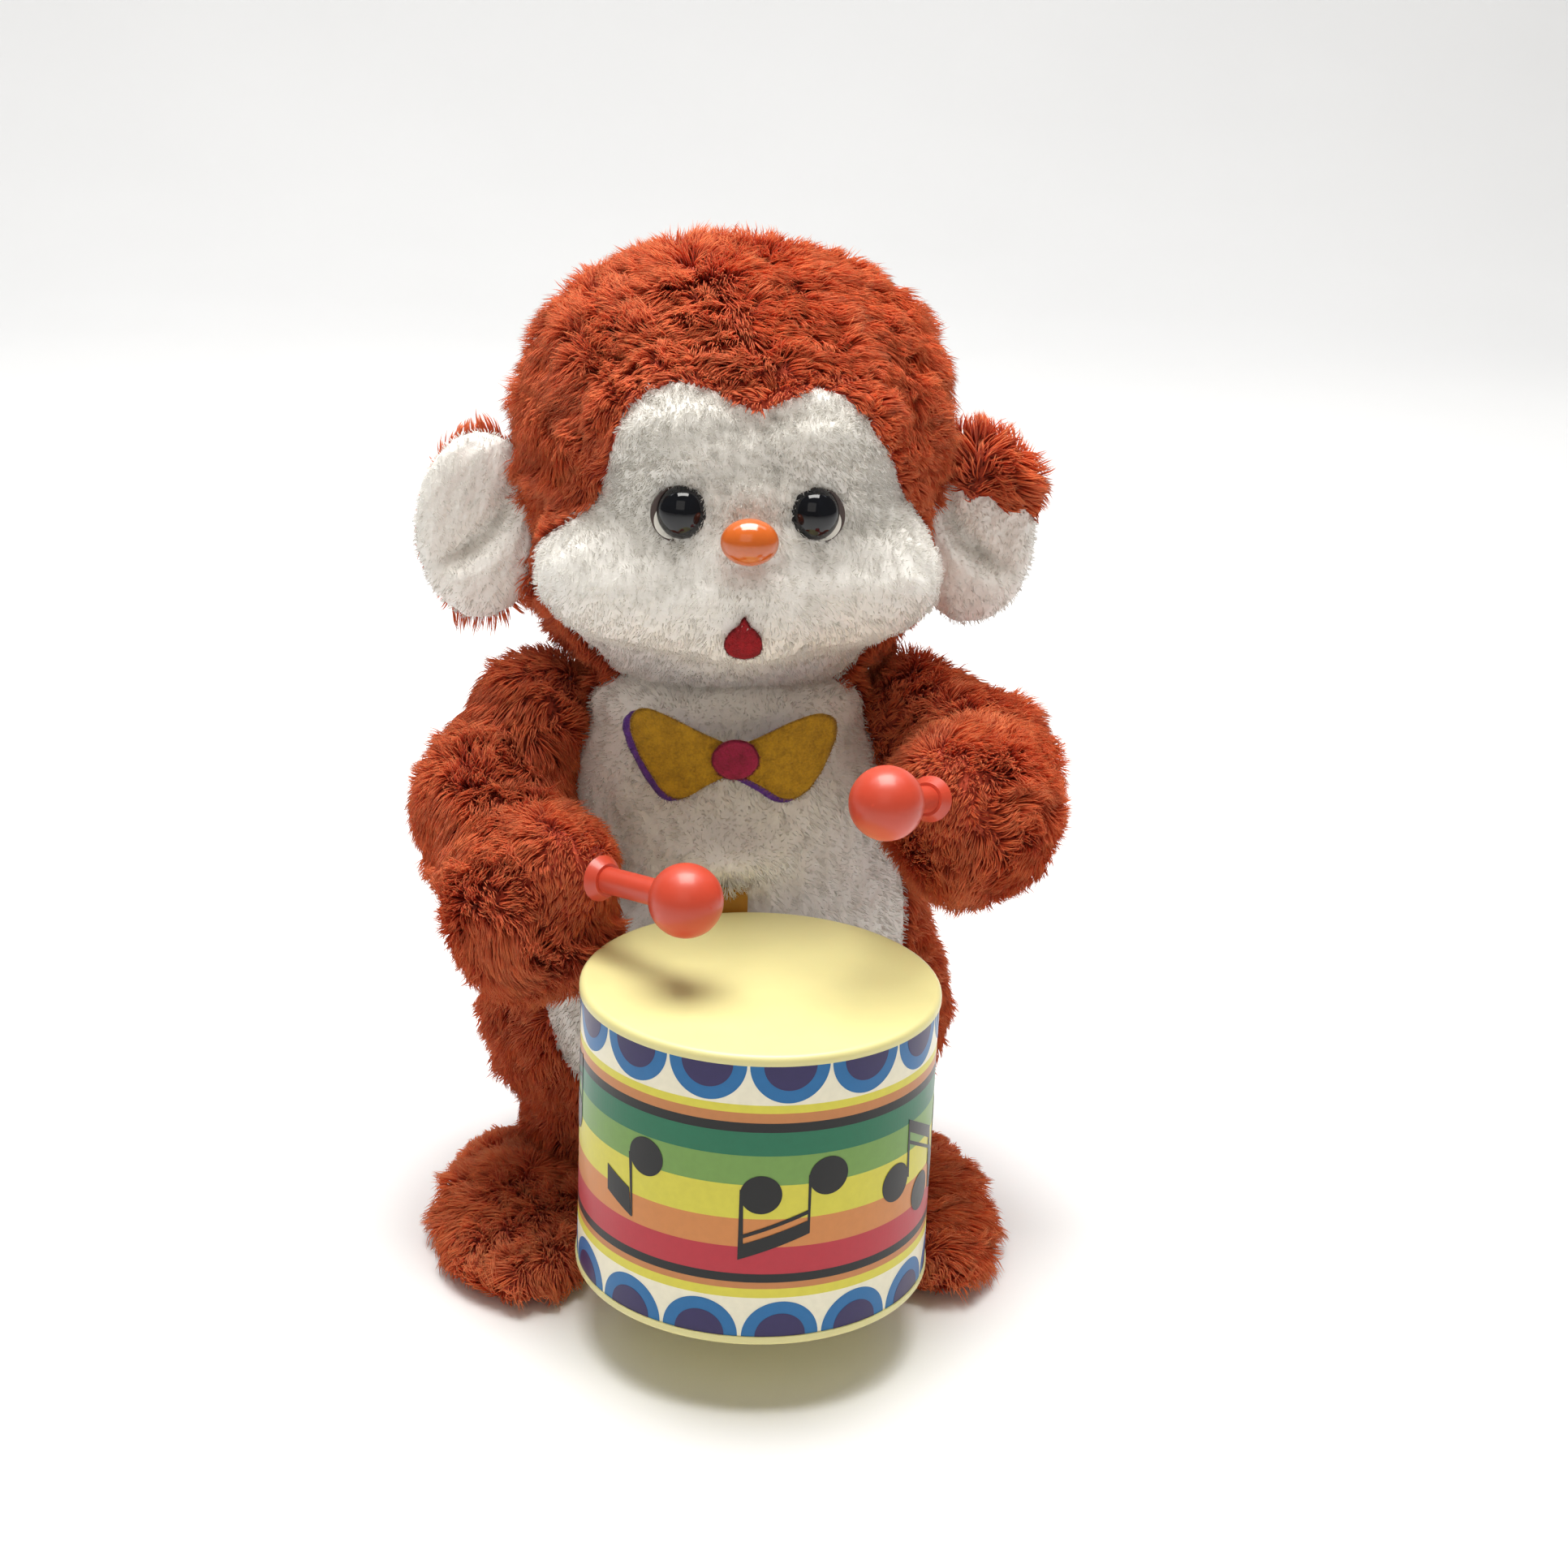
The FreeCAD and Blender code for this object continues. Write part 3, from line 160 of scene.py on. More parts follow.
def metal(name, col, rough=(0.25, 0.4), brushed=True):
    m, nt, b = new_mat(name)
    tc, nz = noise_colour(nt, b, col, 0.1, 260.0, 5.0, rough, 0.15, 1500.0)
    b.inputs["Metallic"].default_value = 1.0
    if brushed:
        mp = N(nt, "ShaderNodeMapping")
        mp.inputs["Scale"].default_value = (1.0, 1.0, 14.0)
        link(nt, tc.outputs["Object"], mp.inputs["Vector"])
        link(nt, mp.outputs["Vector"], nz.inputs["Vector"])
    return m


def felt_mat(name, col, dark):
    m, nt, b = new_mat(name)
    tc = N(nt, "ShaderNodeTexCoord")
    n1 = N(nt, "ShaderNodeTexNoise", i_Scale=420.0, i_Detail=8.0, i_Roughness=0.75)
    link(nt, tc.outputs["Object"], n1.inputs["Vector"])
    n2 = N(nt, "ShaderNodeTexNoise", i_Scale=2400.0, i_Detail=3.0)
    link(nt, tc.outputs["Object"], n2.inputs["Vector"])
    mx = N(nt, "ShaderNodeMath", operation="ADD")
    link(nt, n1.outputs["Fac"], mx.inputs[0])
    sc = N(nt, "ShaderNodeMath", operation="MULTIPLY")
    sc.inputs[1].default_value = 0.5
    link(nt, n2.outputs["Fac"], sc.inputs[0])
    link(nt, sc.outputs[0], mx.inputs[1])
    cr = ramp(nt, [(0.48, dark), (0.86, col)])
    link(nt, mx.outputs[0], cr.inputs["Fac"])
    link(nt, cr.outputs["Color"], b.inputs["Base Color"])
    b.inputs["Roughness"].default_value = 0.95
    b.inputs["Sheen Weight"].default_value = 0.35
    b.inputs["Sheen Roughness"].default_value = 0.4
    bp = N(nt, "ShaderNodeBump", i_Strength=0.8, i_Distance=0.0004)
    link(nt, mx.outputs[0], bp.inputs["Height"])
    link(nt, bp.outputs["Normal"], b.inputs["Normal"])
    return m


def fur_mat(name, root, mid, tip, hue_var=0.012, val_var=0.25, rough=0.8, sheen=0.15, trans=0.4):
    """Strand colour runs root to tip along V: the darker root colour is painted shade deep in the pile, and the lighter
    tip colour is painted light at its top. U carries each strand's own tone, which differs at random. Light also passes
    through a strand.
    """
    m, nt, b = new_mat(name)
    uv = N(nt, "ShaderNodeUVMap", uv_map="OFBake")
    sp = N(nt, "ShaderNodeSeparateXYZ")
    link(nt, uv.outputs["UV"], sp.inputs[0])
    # dark root to light tip: painted shade in the pile's depth, painted light on the tips
    cr = ramp(nt, [(0.0, root), (0.38, mid), (1.0, tip)])
    link(nt, sp.outputs["Y"], cr.inputs["Fac"])
    hs = N(nt, "ShaderNodeHueSaturation")
    mh = N(nt, "ShaderNodeMapRange")
    mh.inputs["To Min"].default_value, mh.inputs["To Max"].default_value = 0.5 - hue_var, 0.5 + hue_var
    link(nt, sp.outputs["X"], mh.inputs["Value"])
    link(nt, mh.outputs["Result"], hs.inputs["Hue"])
    mv = N(nt, "ShaderNodeMapRange")
    mv.inputs["To Min"].default_value, mv.inputs["To Max"].default_value = 1 - val_var, 1 + val_var * 0.4
    link(nt, sp.outputs["X"], mv.inputs["Value"])
    link(nt, mv.outputs["Result"], hs.inputs["Value"])
    link(nt, cr.outputs["Color"], hs.inputs["Color"])
    link(nt, hs.outputs["Color"], b.inputs["Base Color"])
    b.inputs["Roughness"].default_value = rough
    b.inputs["Specular IOR Level"].default_value = 0.15
    b.inputs["Sheen Weight"].default_value = sheen
    b.inputs["Sheen Roughness"].default_value = 0.5
    tr = N(nt, "ShaderNodeBsdfTranslucent")
    link(nt, hs.outputs["Color"], tr.inputs["Color"])
    mx = N(nt, "ShaderNodeMixShader")
    mx.inputs["Fac"].default_value = trans
    link(nt, b.outputs["BSDF"], mx.inputs[1])
    link(nt, tr.outputs["BSDF"], mx.inputs[2])
    link(nt, mx.outputs["Shader"], nt.nodes["Material Output"].inputs["Surface"])
    return m


def skin_mat(name, col, dark, scale=500.0):
    m, nt, b = new_mat(name)
    tc = N(nt, "ShaderNodeTexCoord")
    nz = N(nt, "ShaderNodeTexNoise", i_Scale=scale, i_Detail=6.0, i_Roughness=0.7)
    link(nt, tc.outputs["Object"], nz.inputs["Vector"])
    cr = ramp(nt, [(0.35, dark), (0.65, col)])
    link(nt, nz.outputs["Fac"], cr.inputs["Fac"])
    link(nt, cr.outputs["Color"], b.inputs["Base Color"])
    b.inputs["Roughness"].default_value = 0.95
    b.inputs["Sheen Weight"].default_value = 0.3
    bp = N(nt, "ShaderNodeBump", i_Strength=0.6, i_Distance=0.0006)
    link(nt, nz.outputs["Fac"], bp.inputs["Height"])
    link(nt, bp.outputs["Normal"], b.inputs["Normal"])
    return m


# Fur and pile colours: each root colour is darker than its tip, as painted shade down in the pile.
ORANGE_FUR = fur_mat("orange_fur", (0.67, 0.110, 0.046), (0.89, 0.215, 0.084), (0.97, 0.355, 0.155), 0.006, 0.15, 0.85, 0.1, 0.48)
ORANGE_SKIN = skin_mat("orange_backing", (0.66, 0.105, 0.044), (0.52, 0.075, 0.032))
# The feet wear a lighter copy of the orange fur: painted light where the feet sit in the shade of the drum and arms.
FOOT_FUR_PAINTED_LIGHT = fur_mat("orange_fur_feet_painted_light", (0.80, 0.150, 0.062), (0.93, 0.270, 0.110), (0.98, 0.420, 0.190), 0.006, 0.12, 0.85, 0.1, 0.5)
WHITE_FUR = fur_mat("white_pile", (0.95, 0.935, 0.90), (0.97, 0.96, 0.935), (0.985, 0.98, 0.965), 0.0, 0.02, 0.9, 0.1, 0.5)
WHITE_SKIN = skin_mat("white_backing", (0.965, 0.95, 0.915), (0.93, 0.915, 0.88), 620.0)
CORAL = plastic("coral_plastic", srgb("#c6452f"), (0.34, 0.44), 0.15, 0.03, 160.0, 0.08)
CREAM = plastic("cream_plastic", srgb("#dbd496"), (0.36, 0.46), 0.12, 0.025, 90.0, 0.05)
BLACK = plastic("eye_black", (0.006, 0.007, 0.010), (0.04, 0.07), 0.0, 0.2, 200.0, 0.0, 0.0)
EYE_WHITE = plastic("eye_white", srgb("#eceae2"), (0.25, 0.35), 0.4, 0.03)
_nt = EYE_WHITE.node_tree
_tc = N(_nt, "ShaderNodeTexCoord")
_sep = N(_nt, "ShaderNodeSeparateXYZ")
link(_nt, _tc.outputs["Object"], _sep.inputs[0])


def _math(op, a, b=None):
    n = N(_nt, "ShaderNodeMath", operation=op)
    for k, q in enumerate((a, b)):
        if q is None:
            continue
        if isinstance(q, (int, float)):
            n.inputs[k].default_value = q
        else:
            link(_nt, q, n.inputs[k])
    return n.outputs[0]


# The eye's white rim is painted dark brown as shade. Only a crescent at its lower outer side, its lit part, is left
# white.
_u = _math("SUBTRACT", _math("ABSOLUTE", _sep.outputs["X"]), 0.0119)
_w = _math("SUBTRACT", _sep.outputs["Z"], 0.1506)
_r = _math("SQRT", _math("ADD", _math("MULTIPLY", _u, _u), _math("MULTIPLY", _w, _w)))
_dot = _math("DIVIDE", _math("SUBTRACT", _math("MULTIPLY", _u, 0.70), _math("MULTIPLY", _w, 0.71)), _r)
_lit = _math("GREATER_THAN", _math("SUBTRACT", _dot, _math("MULTIPLY", _math("SUBTRACT", _r, 0.0047), 260.0)), 0.70)
_mix = N(_nt, "ShaderNodeMix", data_type="RGBA")
link(_nt, _lit, _mix.inputs["Factor"])
_old = _nt.nodes["Principled BSDF"].inputs["Base Color"].links[0].from_socket
# dark brown: painted shade over the white rim
_mix.inputs[6].default_value = (*srgb("#3c2118"), 1.0)
link(_nt, _old, _mix.inputs[7])
link(_nt, _mix.outputs[2], _nt.nodes["Principled BSDF"].inputs["Base Color"])
NOSE = plastic("nose_orange", srgb("#cc6426"), (0.12, 0.2), 0.8, 0.05, 260.0, 0.05)
BASE = plastic("base_brown", srgb("#5a2a14"), (0.5, 0.65), 0.0, 0.1)
CASING = plastic("casing_cream", srgb("#d8d0b8"), (0.45, 0.6), 0.05, 0.05)
WASHER = plastic("washer_white", srgb("#dedcd4"), (0.4, 0.5), 0.1, 0.04)
STEEL = metal("steel_plate", (0.56, 0.57, 0.60))
ZINC = metal("zinc_steel", (0.66, 0.67, 0.70), (0.2, 0.32))
BRASS = metal("train_brass", (0.72, 0.52, 0.22), (0.22, 0.36))
SPRING = metal("spring_steel", (0.22, 0.24, 0.30), (0.25, 0.35))
KEY = metal("key_nickel", (0.70, 0.70, 0.70), (0.14, 0.28))
MUSTARD_PAINT = plastic("mustard_paint", srgb("#b07a1e"), (0.35, 0.5), 0.1, 0.08)
TUBE = plastic("drum_card", srgb("#b8a684"), (0.7, 0.85), 0.0, 0.08)
MUSTARD_FELT = felt_mat("mustard_felt", srgb("#c0921c"), srgb("#86620f"))
PURPLE_FELT = felt_mat("purple_felt", srgb("#6d3fa0"), srgb("#44246e"))
MAGENTA_FELT = felt_mat("magenta_felt", srgb("#a8224c"), srgb("#701830"))
RED_FELT = felt_mat("red_felt", srgb("#a8141f"), srgb("#6a0a14"))

SLOT_MAT = {
    "steel_plate": STEEL, "zinc_screw": ZINC, "train_brass": BRASS, "spring_steel": SPRING,
    "base_plastic": BASE, "casing_plastic": CASING, "orange_plush": ORANGE_SKIN,
    "white_plush": WHITE_SKIN, "mustard_felt": MUSTARD_FELT, "purple_felt": PURPLE_FELT,
    "magenta_felt": MAGENTA_FELT, "red_felt": RED_FELT, "coral_plastic": CORAL,
    "cream_plastic": CREAM, "drum_tube": TUBE, "printed_paper": TUBE,
    "mustard_paint": MUSTARD_PAINT, "black_gloss": BLACK, "eye_white": EYE_WHITE,
    "orange_gloss": NOSE, "washer_plastic": WASHER, "key_steel": KEY,
}
for sub in frame["record"]["subparts"]:
    ob = frame["nodes"][sub["node"]]
    ob.data.materials.clear()
    ob.data.materials.append(SLOT_MAT[sub["material_slot"]])


def smooth_cad(name, angle=35.0):
    """Shades a curved CAD node smoothly; its mesh and place stay as packed."""
    ob = frame["nodes"][name]
    ob.data.polygons.foreach_set("use_smooth", np.ones(len(ob.data.polygons), bool))
    try:
        ob.data.set_sharp_from_angle(angle=math.radians(angle))
    except Exception:
        pass


# --------------------------------------------------------------------------
# mesh helpers (numpy arrays in millimetres)
# --------------------------------------------------------------------------


def mesh_object(name, verts, tris, mat, smooth=True, uv=None):
    me = bpy.data.meshes.new(name)
    verts = np.asarray(verts, np.float32) * MM
    tris = np.asarray(tris, np.int32)
    me.vertices.add(len(verts))
    me.vertices.foreach_set("co", verts.ravel())
    me.loops.add(tris.size)
    me.loops.foreach_set("vertex_index", tris.ravel())
    me.polygons.add(len(tris))
    me.polygons.foreach_set("loop_start", np.arange(0, tris.size, tris.shape[1], dtype=np.int32))
    me.update(calc_edges=True)
    me.polygons.foreach_set("use_smooth", np.full(len(tris), smooth, bool))
    if uv is not None:
        lay = me.uv_layers.new(name="OFBake")
        lay.data.foreach_set("uv", np.asarray(uv, np.float32)[tris.ravel()].ravel())
    me.materials.append(mat)
    ob = bpy.data.objects.new(name, me)
    scene.collection.objects.link(ob)
    return ob


_ico = {}


def icosphere(level):
    if level not in _ico:
        bm = bmesh.new()
        bmesh.ops.create_icosphere(bm, subdivisions=level, radius=1.0)
        v = np.array([x.co for x in bm.verts], float)
        f = np.array([[x.index for x in q.verts] for q in bm.faces], int)
        bm.free()
        v /= np.linalg.norm(v, axis=1)[:, None]
        _ico[level] = (v, f)
    return _ico[level]


def ell(c, r, rot=None):
    c, r = np.array(c, float), np.array(r, float)
    R = np.array(rot, float) if rot is not None else None

    def f(p):
        q = p - c
        if R is not None:
            q = q @ R
        k0 = np.linalg.norm(q / r, axis=1)
        k1 = np.linalg.norm(q / (r * r), axis=1) + 1e-9
        return k0 * (k0 - 1.0) / k1

    return f


def capsule(a, b, ra, rb):
    a, b = np.array(a, float), np.array(b, float)
    ab = b - a

    def f(p):
        t = np.clip((p - a) @ ab / (ab @ ab), 0, 1)
        return np.linalg.norm(p - a - t[:, None] * ab, axis=1) - (ra + (rb - ra) * t)

    return f


def blend_of(parts, k):
    def f(p):
        d = np.stack([q(p) for q in parts])
        m = d.min(0)
        return m - k * np.log(np.exp(-(d - m) / k).sum(0))

    return f


def star(centre, fn, level, far=90.0):
    """Closed surface of an implicit form that can all be seen from its centre."""
    dirs, tris = icosphere(level)
    c = np.array(centre, float)
    lo, hi = np.zeros(len(dirs)), np.full(len(dirs), far)
    for _ in range(26):
        mid = (lo + hi) / 2
        inside = fn(c + dirs * mid[:, None]) < 0
        lo, hi = np.where(inside, mid, lo), np.where(inside, hi, mid)
    return c + dirs * lo[:, None], tris


def normals_of(v, t):
    n = np.zeros_like(v)
    fn = np.cross(v[t[:, 1]] - v[t[:, 0]], v[t[:, 2]] - v[t[:, 0]])
    for i in range(3):
        np.add.at(n, t[:, i], fn)
    return n / (np.linalg.norm(n, axis=1)[:, None] + 1e-12)


def unit(v):
    return v / (np.linalg.norm(v, axis=-1, keepdims=True) + 1e-12)


def wave(p, seed, wl, n=6):
    """Smooth vector noise with wavelengths near wl."""
    rng = np.random.default_rng(seed)
    out = np.zeros((len(p), 3))
    for _ in range(n):
        k = unit(rng.normal(size=3)) * 2 * np.pi / (wl * rng.uniform(0.7, 1.5))
        ph = rng.uniform(0, 2 * np.pi)
        out += np.sin(p @ k + ph)[:, None] * rng.normal(size=3)
    return out / math.sqrt(n)


def compact(v, t):
    used = np.unique(t)
    back = np.full(len(v), -1)
    back[used] = np.arange(len(used))
    return v[used], back[t]


def patch(name, v, t, keep, mat, body, thick=1.4, replace=()):
    """Part of a skin as a sheet of fabric backing with its own thickness."""
    tt = t[keep]
    n = normals_of(v, t)
    pv, pt = compact(v, tt)
    used = np.unique(tt)
    pn = n[used]
    m = len(pv)
    inner = pv - pn * thick
    edges = {}
    for a, b, c in pt:
        for e in ((a, b), (b, c), (c, a)):
            edges[e] = edges.get(e, 0) + 1
    rim = [e for e in edges if (e[1], e[0]) not in edges]
    side = []
    for a, b in rim:
        side.append((b, a, a + m))
        side.append((b, a + m, b + m))
    faces = np.concatenate([pt, pt[:, ::-1] + m, np.array(side, int).reshape(-1, 3)])
    ob = mesh_object(name, np.concatenate([pv, inner]), faces, mat)
    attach(ob, body)
    if replace:
        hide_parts(*replace)
    return ob


def nearest(points, queries):
    kd = KDTree(len(points))
    for i, p in enumerate(points):
        kd.insert(p, i)
    kd.balance()
    return np.array([kd.find(q)[1] for q in queries], int)


def sample(v, t, n, count, weight, rng):
    a = np.linalg.norm(np.cross(v[t[:, 1]] - v[t[:, 0]], v[t[:, 2]] - v[t[:, 0]]), axis=1) / 2
    w = a * weight
    cum = np.cumsum(w)
    pick = np.searchsorted(cum, rng.uniform(0, cum[-1], count))
    pick = np.clip(pick, 0, len(t) - 1)
    u, q = rng.uniform(size=count), rng.uniform(size=count)
    flip = u + q > 1
    u[flip], q[flip] = 1 - u[flip], 1 - q[flip]
    tri = t[pick]
    p = v[tri[:, 0]] * (1 - u - q)[:, None] + v[tri[:, 1]] * u[:, None] + v[tri[:, 2]] * q[:, None]
    nn = unit(n[tri[:, 0]] * (1 - u - q)[:, None] + n[tri[:, 1]] * u[:, None] + n[tri[:, 2]] * q[:, None])
    return p, nn, w.sum()


def strands(name, root, path1, path2, tip, width, shade, mat, body, limit=12400, sink=0.25):
    """Tapered three-sided strands through four stations, cut into pieces by height."""
    made = []
    order = np.argsort(root[:, 2] + 0.4 * root[:, 0], kind="stable")
    parts = max(1, math.ceil(len(root) / limit))
    for k, idx in enumerate(np.array_split(order, parts)):
        a, b, c, e = root[idx], path1[idx], path2[idx], tip[idx]
        m = len(idx)
        d = unit(e - a)
        ref = np.tile(np.array([0.31, 0.87, 0.38]), (m, 1))
        e1 = unit(np.cross(d, ref))
        e2 = np.cross(d, e1)
        w = width[idx][:, None]
        ring = []
        for st, f in ((a - d * sink, 1.0), (b, 0.92), (c, 0.62)):
            for q in range(3):
                ang = 2 * math.pi * q / 3
                ring.append(st + (e1 * math.cos(ang) + e2 * math.sin(ang)) * w * f / 2)
        ring.append(e)
        v = np.stack(ring, 1).reshape(-1, 3)
        v[:, 2] = np.maximum(v[:, 2], 0.12)
        base = np.arange(m)[:, None] * 10
        f = []
        for s in (0, 3):
            for q in range(3):
                q2 = (q + 1) % 3
                f.append([s + q, s + q2, s + 3 + q2])
                f.append([s + q, s + 3 + q2, s + 3 + q])
        for q in range(3):
            f.append([6 + q, 6 + (q + 1) % 3, 9])
        f.append([2, 1, 0])
        tris = (base[:, :, None] + np.array(f)[None]).reshape(-1, 3)
        sh = np.clip(shade[idx], 0.02, 0.98)
        vv = np.repeat(np.array([0.02, 0.36, 0.70, 0.98]), [3, 3, 3, 1])
        uv = np.stack([np.repeat(sh, 10), np.tile(vv, m)], 1)
        ob = mesh_object("%s_%02d" % (name, k + 1), v, tris, mat, True, uv)
        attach(ob, body)
        made.append(ob)
    return made


def fur(name, v, t, keep, mat, body, per_mm2, length, width, comb, clump=2.2, stick=0.6,
        stand=0.8, curl=0.35, seed=1, length_fn=None, weight_fn=None, jitter=0.25, dense=1.0):
    """Pile rooted on a skin. comb(p, n) gives the lie of the pile."""
    rng = np.random.default_rng(seed)
    n = normals_of(v, t)
    tt = t[keep]
    cen = v[tt].mean(1)
    wgt = weight_fn(cen) if weight_fn is not None else np.ones(len(tt))
    area = (np.linalg.norm(np.cross(v[tt[:, 1]] - v[tt[:, 0]], v[tt[:, 2]] - v[tt[:, 0]]), axis=1) / 2 * wgt).sum()
    count = int(area * per_mm2 * DENSITY * dense)
    wid = width * (1.0 / math.sqrt(DENSITY) if DENSITY < 1 else 1.0)
    p, nn, _ = sample(v, tt, n, count, wgt, rng)
    lie = comb(p, nn)
    lie = lie + wave(p, seed + 5, 14.0) * curl + wave(p, seed + 6, 5.0) * curl * 0.6
    lie = lie - nn * (lie * nn).sum(1)[:, None]
    L = length * (1 + 0.16 * wave(p, seed + 7, 9.0)[:, 0]) * rng.uniform(0.78, 1.12, len(p))
    if length_fn is not None:
        L = L * length_fn(p)
    d = unit(nn * stand + lie * (1 - stand * 0.35) + rng.normal(size=p.shape) * jitter * 0.35)
    tip = p + d * L[:, None]
    # clumps: strands of one tuft share a tip region
    nc = max(8, int(area / (clump * clump)))
    cp, cn, _ = sample(v, tt, n, nc, wgt, rng)
    cl = comb(cp, cn) + wave(cp, seed + 5, 14.0) * curl + wave(cp, seed + 6, 5.0) * curl * 0.6
    cl = cl + rng.normal(size=cp.shape) * jitter
    cl = cl - cn * (cl * cn).sum(1)[:, None]
    cL = length * (1 + 0.16 * wave(cp, seed + 7, 9.0)[:, 0]) * rng.uniform(0.85, 1.18, nc)
    if length_fn is not None:
        cL = cL * length_fn(cp)
    cd = unit(cn * stand + cl * (1 - stand * 0.35))
    near = nearest(cp, p)
    shift = (cp[near] + cd[near] * cL[near][:, None]) - tip
    s = stick * rng.uniform(0.7, 1.0, len(p))[:, None]
    tip2 = tip + shift * s
    bow = nn * (0.14 * L)[:, None] - lie * (0.05 * L)[:, None]
    one = p + (tip - p) * 0.34 + shift * s * 0.10 + bow
    two = p + (tip - p) * 0.68 + shift * s * 0.45 + bow * 0.75
    shade = 0.5 + 0.22 * (rng.uniform(-1, 1, nc))[near] + rng.uniform(-0.28, 0.28, len(p))
    wd = wid * rng.uniform(0.75, 1.2, len(p))
    return strands(name, p, one, two, tip2, wd, shade, mat, body)


def inside_poly(pts, poly):
    x, y = pts[:, 0], pts[:, 1]
    poly = np.asarray(poly, float)
    out = np.zeros(len(pts), bool)
    j = len(poly) - 1
    for i in range(len(poly)):
        xi, yi, xj, yj = *poly[i], *poly[j]
        hit = ((yi > y) != (yj > y)) & (x < (xj - xi) * (y - yi) / (yj - yi + 1e-12) + xi)
        out ^= hit
        j = i
    return out


# --------------------------------------------------------------------------
# head: one sewn form, split into the orange cap and the white face
# --------------------------------------------------------------------------

head_form = blend_of([
    ell((0, 4.0, 156.0), (39.8, 36.7, 32.2)),
    ell((-9.0, 2.0, 168.0), (25.0, 25.0, 19.5)),
    ell((10.0, 2.0, 168.0), (26.0, 25.0, 19.5)),
    ell((0, 2.0, 134.0), (37.2, 31.0, 24.0)),
    ell((-20.5, -23.0, 135.0), (18.5, 17.0, 13.5)),
    ell((20.5, -23.0, 135.0), (18.5, 17.0, 13.5)),
    ell((0, -32.2, 133.2), (17.0, 14.5, 13.0)),
    ell((0, -32.0, 146.0), (10.0, 10.0, 9.0)),
    ell((0, -16.0, 152.0), (29.0, 23.0, 23.0)),
    ell((-13.0, -27.0, 164.0), (13.5, 13.5, 11.0)),
    ell((13.0, -27.0, 164.0), (13.5, 13.5, 11.0)),
    ell((0, 5.0, 124.0), (34.5, 24.0, 14.0)),
    ell((0, 1.5, 115.0), (25.5, 20.5, 11.0)),
], 3.6)


def head_fn(p):
    return head_form(p) + 1.4


hv, ht = star((0, 0, 146.0), head_fn, 7)
hn = normals_of(hv, ht)


def woolly(v, n, seed, big=0.32, small=0.16):
    """Uneven pile height: soft lumps a few millimetres across with finer ones on them."""
    h = big * wave(v, seed, 5.0)[:, 0] + small * wave(v, seed + 1, 2.0)[:, 1] + small * 0.7 * wave(v, seed + 2, 1.3, 9)[:, 2]
    return v + n * np.clip(h, -0.9, 0.9)[:, None]


hv = woolly(hv, hn, 301)
hn = normals_of(hv, ht)
hc = hv[ht].mean(1)
FACE_VIEW = [
    (935, 508), (905, 496), (872, 478), (838, 470), (800, 480), (772, 508), (756, 545),
    (747, 585), (733, 622), (698, 645), (662, 668), (650, 700), (653, 735), (668, 768),
    (694, 800), (716, 828), (722, 850), (716, 900), (1088, 900), (1080, 850), (1092, 826),
    (1122, 798), (1150, 760), (1168, 720), (1170, 688), (1152, 656), (1128, 634),
    (1110, 606), (1100, 572), (1086, 545), (1066, 512), (1040, 488), (1008, 478), (975, 492),
]
hpx = project(hc)
face_keep = inside_poly(hpx, FACE_VIEW) & (hc[:, 1] < -8.0) & (hc[:, 2] > 108)
under_chin = (hc[:, 1] < -12) & (hc[:, 2] < 120) & (np.abs(hc[:, 0]) < 27)
face_keep |= under_chin
cap_keep = ~face_keep
head_skin = patch("head_backing", hv, ht, cap_keep, ORANGE_SKIN, "head", 1.4, ("head_plush",))
face_skin = patch("face_backing", hv, ht, face_keep, WHITE_SKIN, "head", 1.4, ("face_plush",))


def head_comb(p, n):
    down = np.tile(np.array([0.0, 0.0, -1.0]), (len(p), 1))
    out = unit(p - np.array([0.0, 24.0, 184.0]))
    side = np.zeros_like(p)
    side[:, 0] = np.sign(p[:, 0]) * np.clip(np.abs(p[:, 0]) / 30, 0, 1)
    return unit(down * 0.7 + out * 0.8 + side * 0.25)


def head_len(p):
    px = project(p)
    d = np.full(len(p), 1e9)
    poly = np.array(FACE_VIEW, float)
    for i in range(len(poly)):
        a, b = poly[i - 1], poly[i]
        ab = b - a
        s = np.clip(((px - a) @ ab) / (ab @ ab), 0, 1)
        d = np.minimum(d, np.linalg.norm(px - a - s[:, None] * ab, axis=1))
    near_face = np.where(p[:, 1] < 0, np.clip(d / 70.0, 0, 1), 1.0)
    return 0.42 + 0.58 * near_face


fur("head_fur", hv, ht, cap_keep, ORANGE_FUR, "head", 6.4, 6.2, 0.25, head_comb,
    clump=1.6, stick=0.5, stand=0.74, curl=0.8, jitter=0.45, seed=11, length_fn=head_len)


def soft_comb(p, n):
    return np.tile(np.array([0.0, 0.0, -0.5]), (len(p), 1))


def face_weight(c):
    return 0.34 + 0.66 * np.clip((c[:, 2] - 141.0) / 12.0, 0, 1)


fur("face_pile", hv, ht, face_keep, WHITE_FUR, "head", 7.5, 1.25, 0.15, soft_comb,
    clump=1.1, stick=0.35, stand=0.85, curl=0.6, jitter=0.6, seed=21, weight_fn=face_weight)

# --------------------------------------------------------------------------
# body
# --------------------------------------------------------------------------

body_fn = blend_of([
    ell((0.6, 1.5, 36.0), (46.0, 32.0, 31.0)),
    ell((0, 0.5, 60.0), (40.0, 30.0, 36.0)),
    ell((0, 0.0, 86.0), (32.5, 24.5, 24.0)),
    ell((0, -1.0, 104.0), (27.0, 21.0, 9.0)),
    ell((0, -6.0, 52.0), (33.0, 27.5, 24.0)),
    ell((-0.5, 1.0, 11.5), (37.0, 27.5, 14.5)),
], 2.5)
bv, bt = star((0, 0, 58.0), body_fn, 7)
# the sole plate carries the body: nothing hangs below it
bv[:, 2] = np.maximum(bv[:, 2], 4.2)
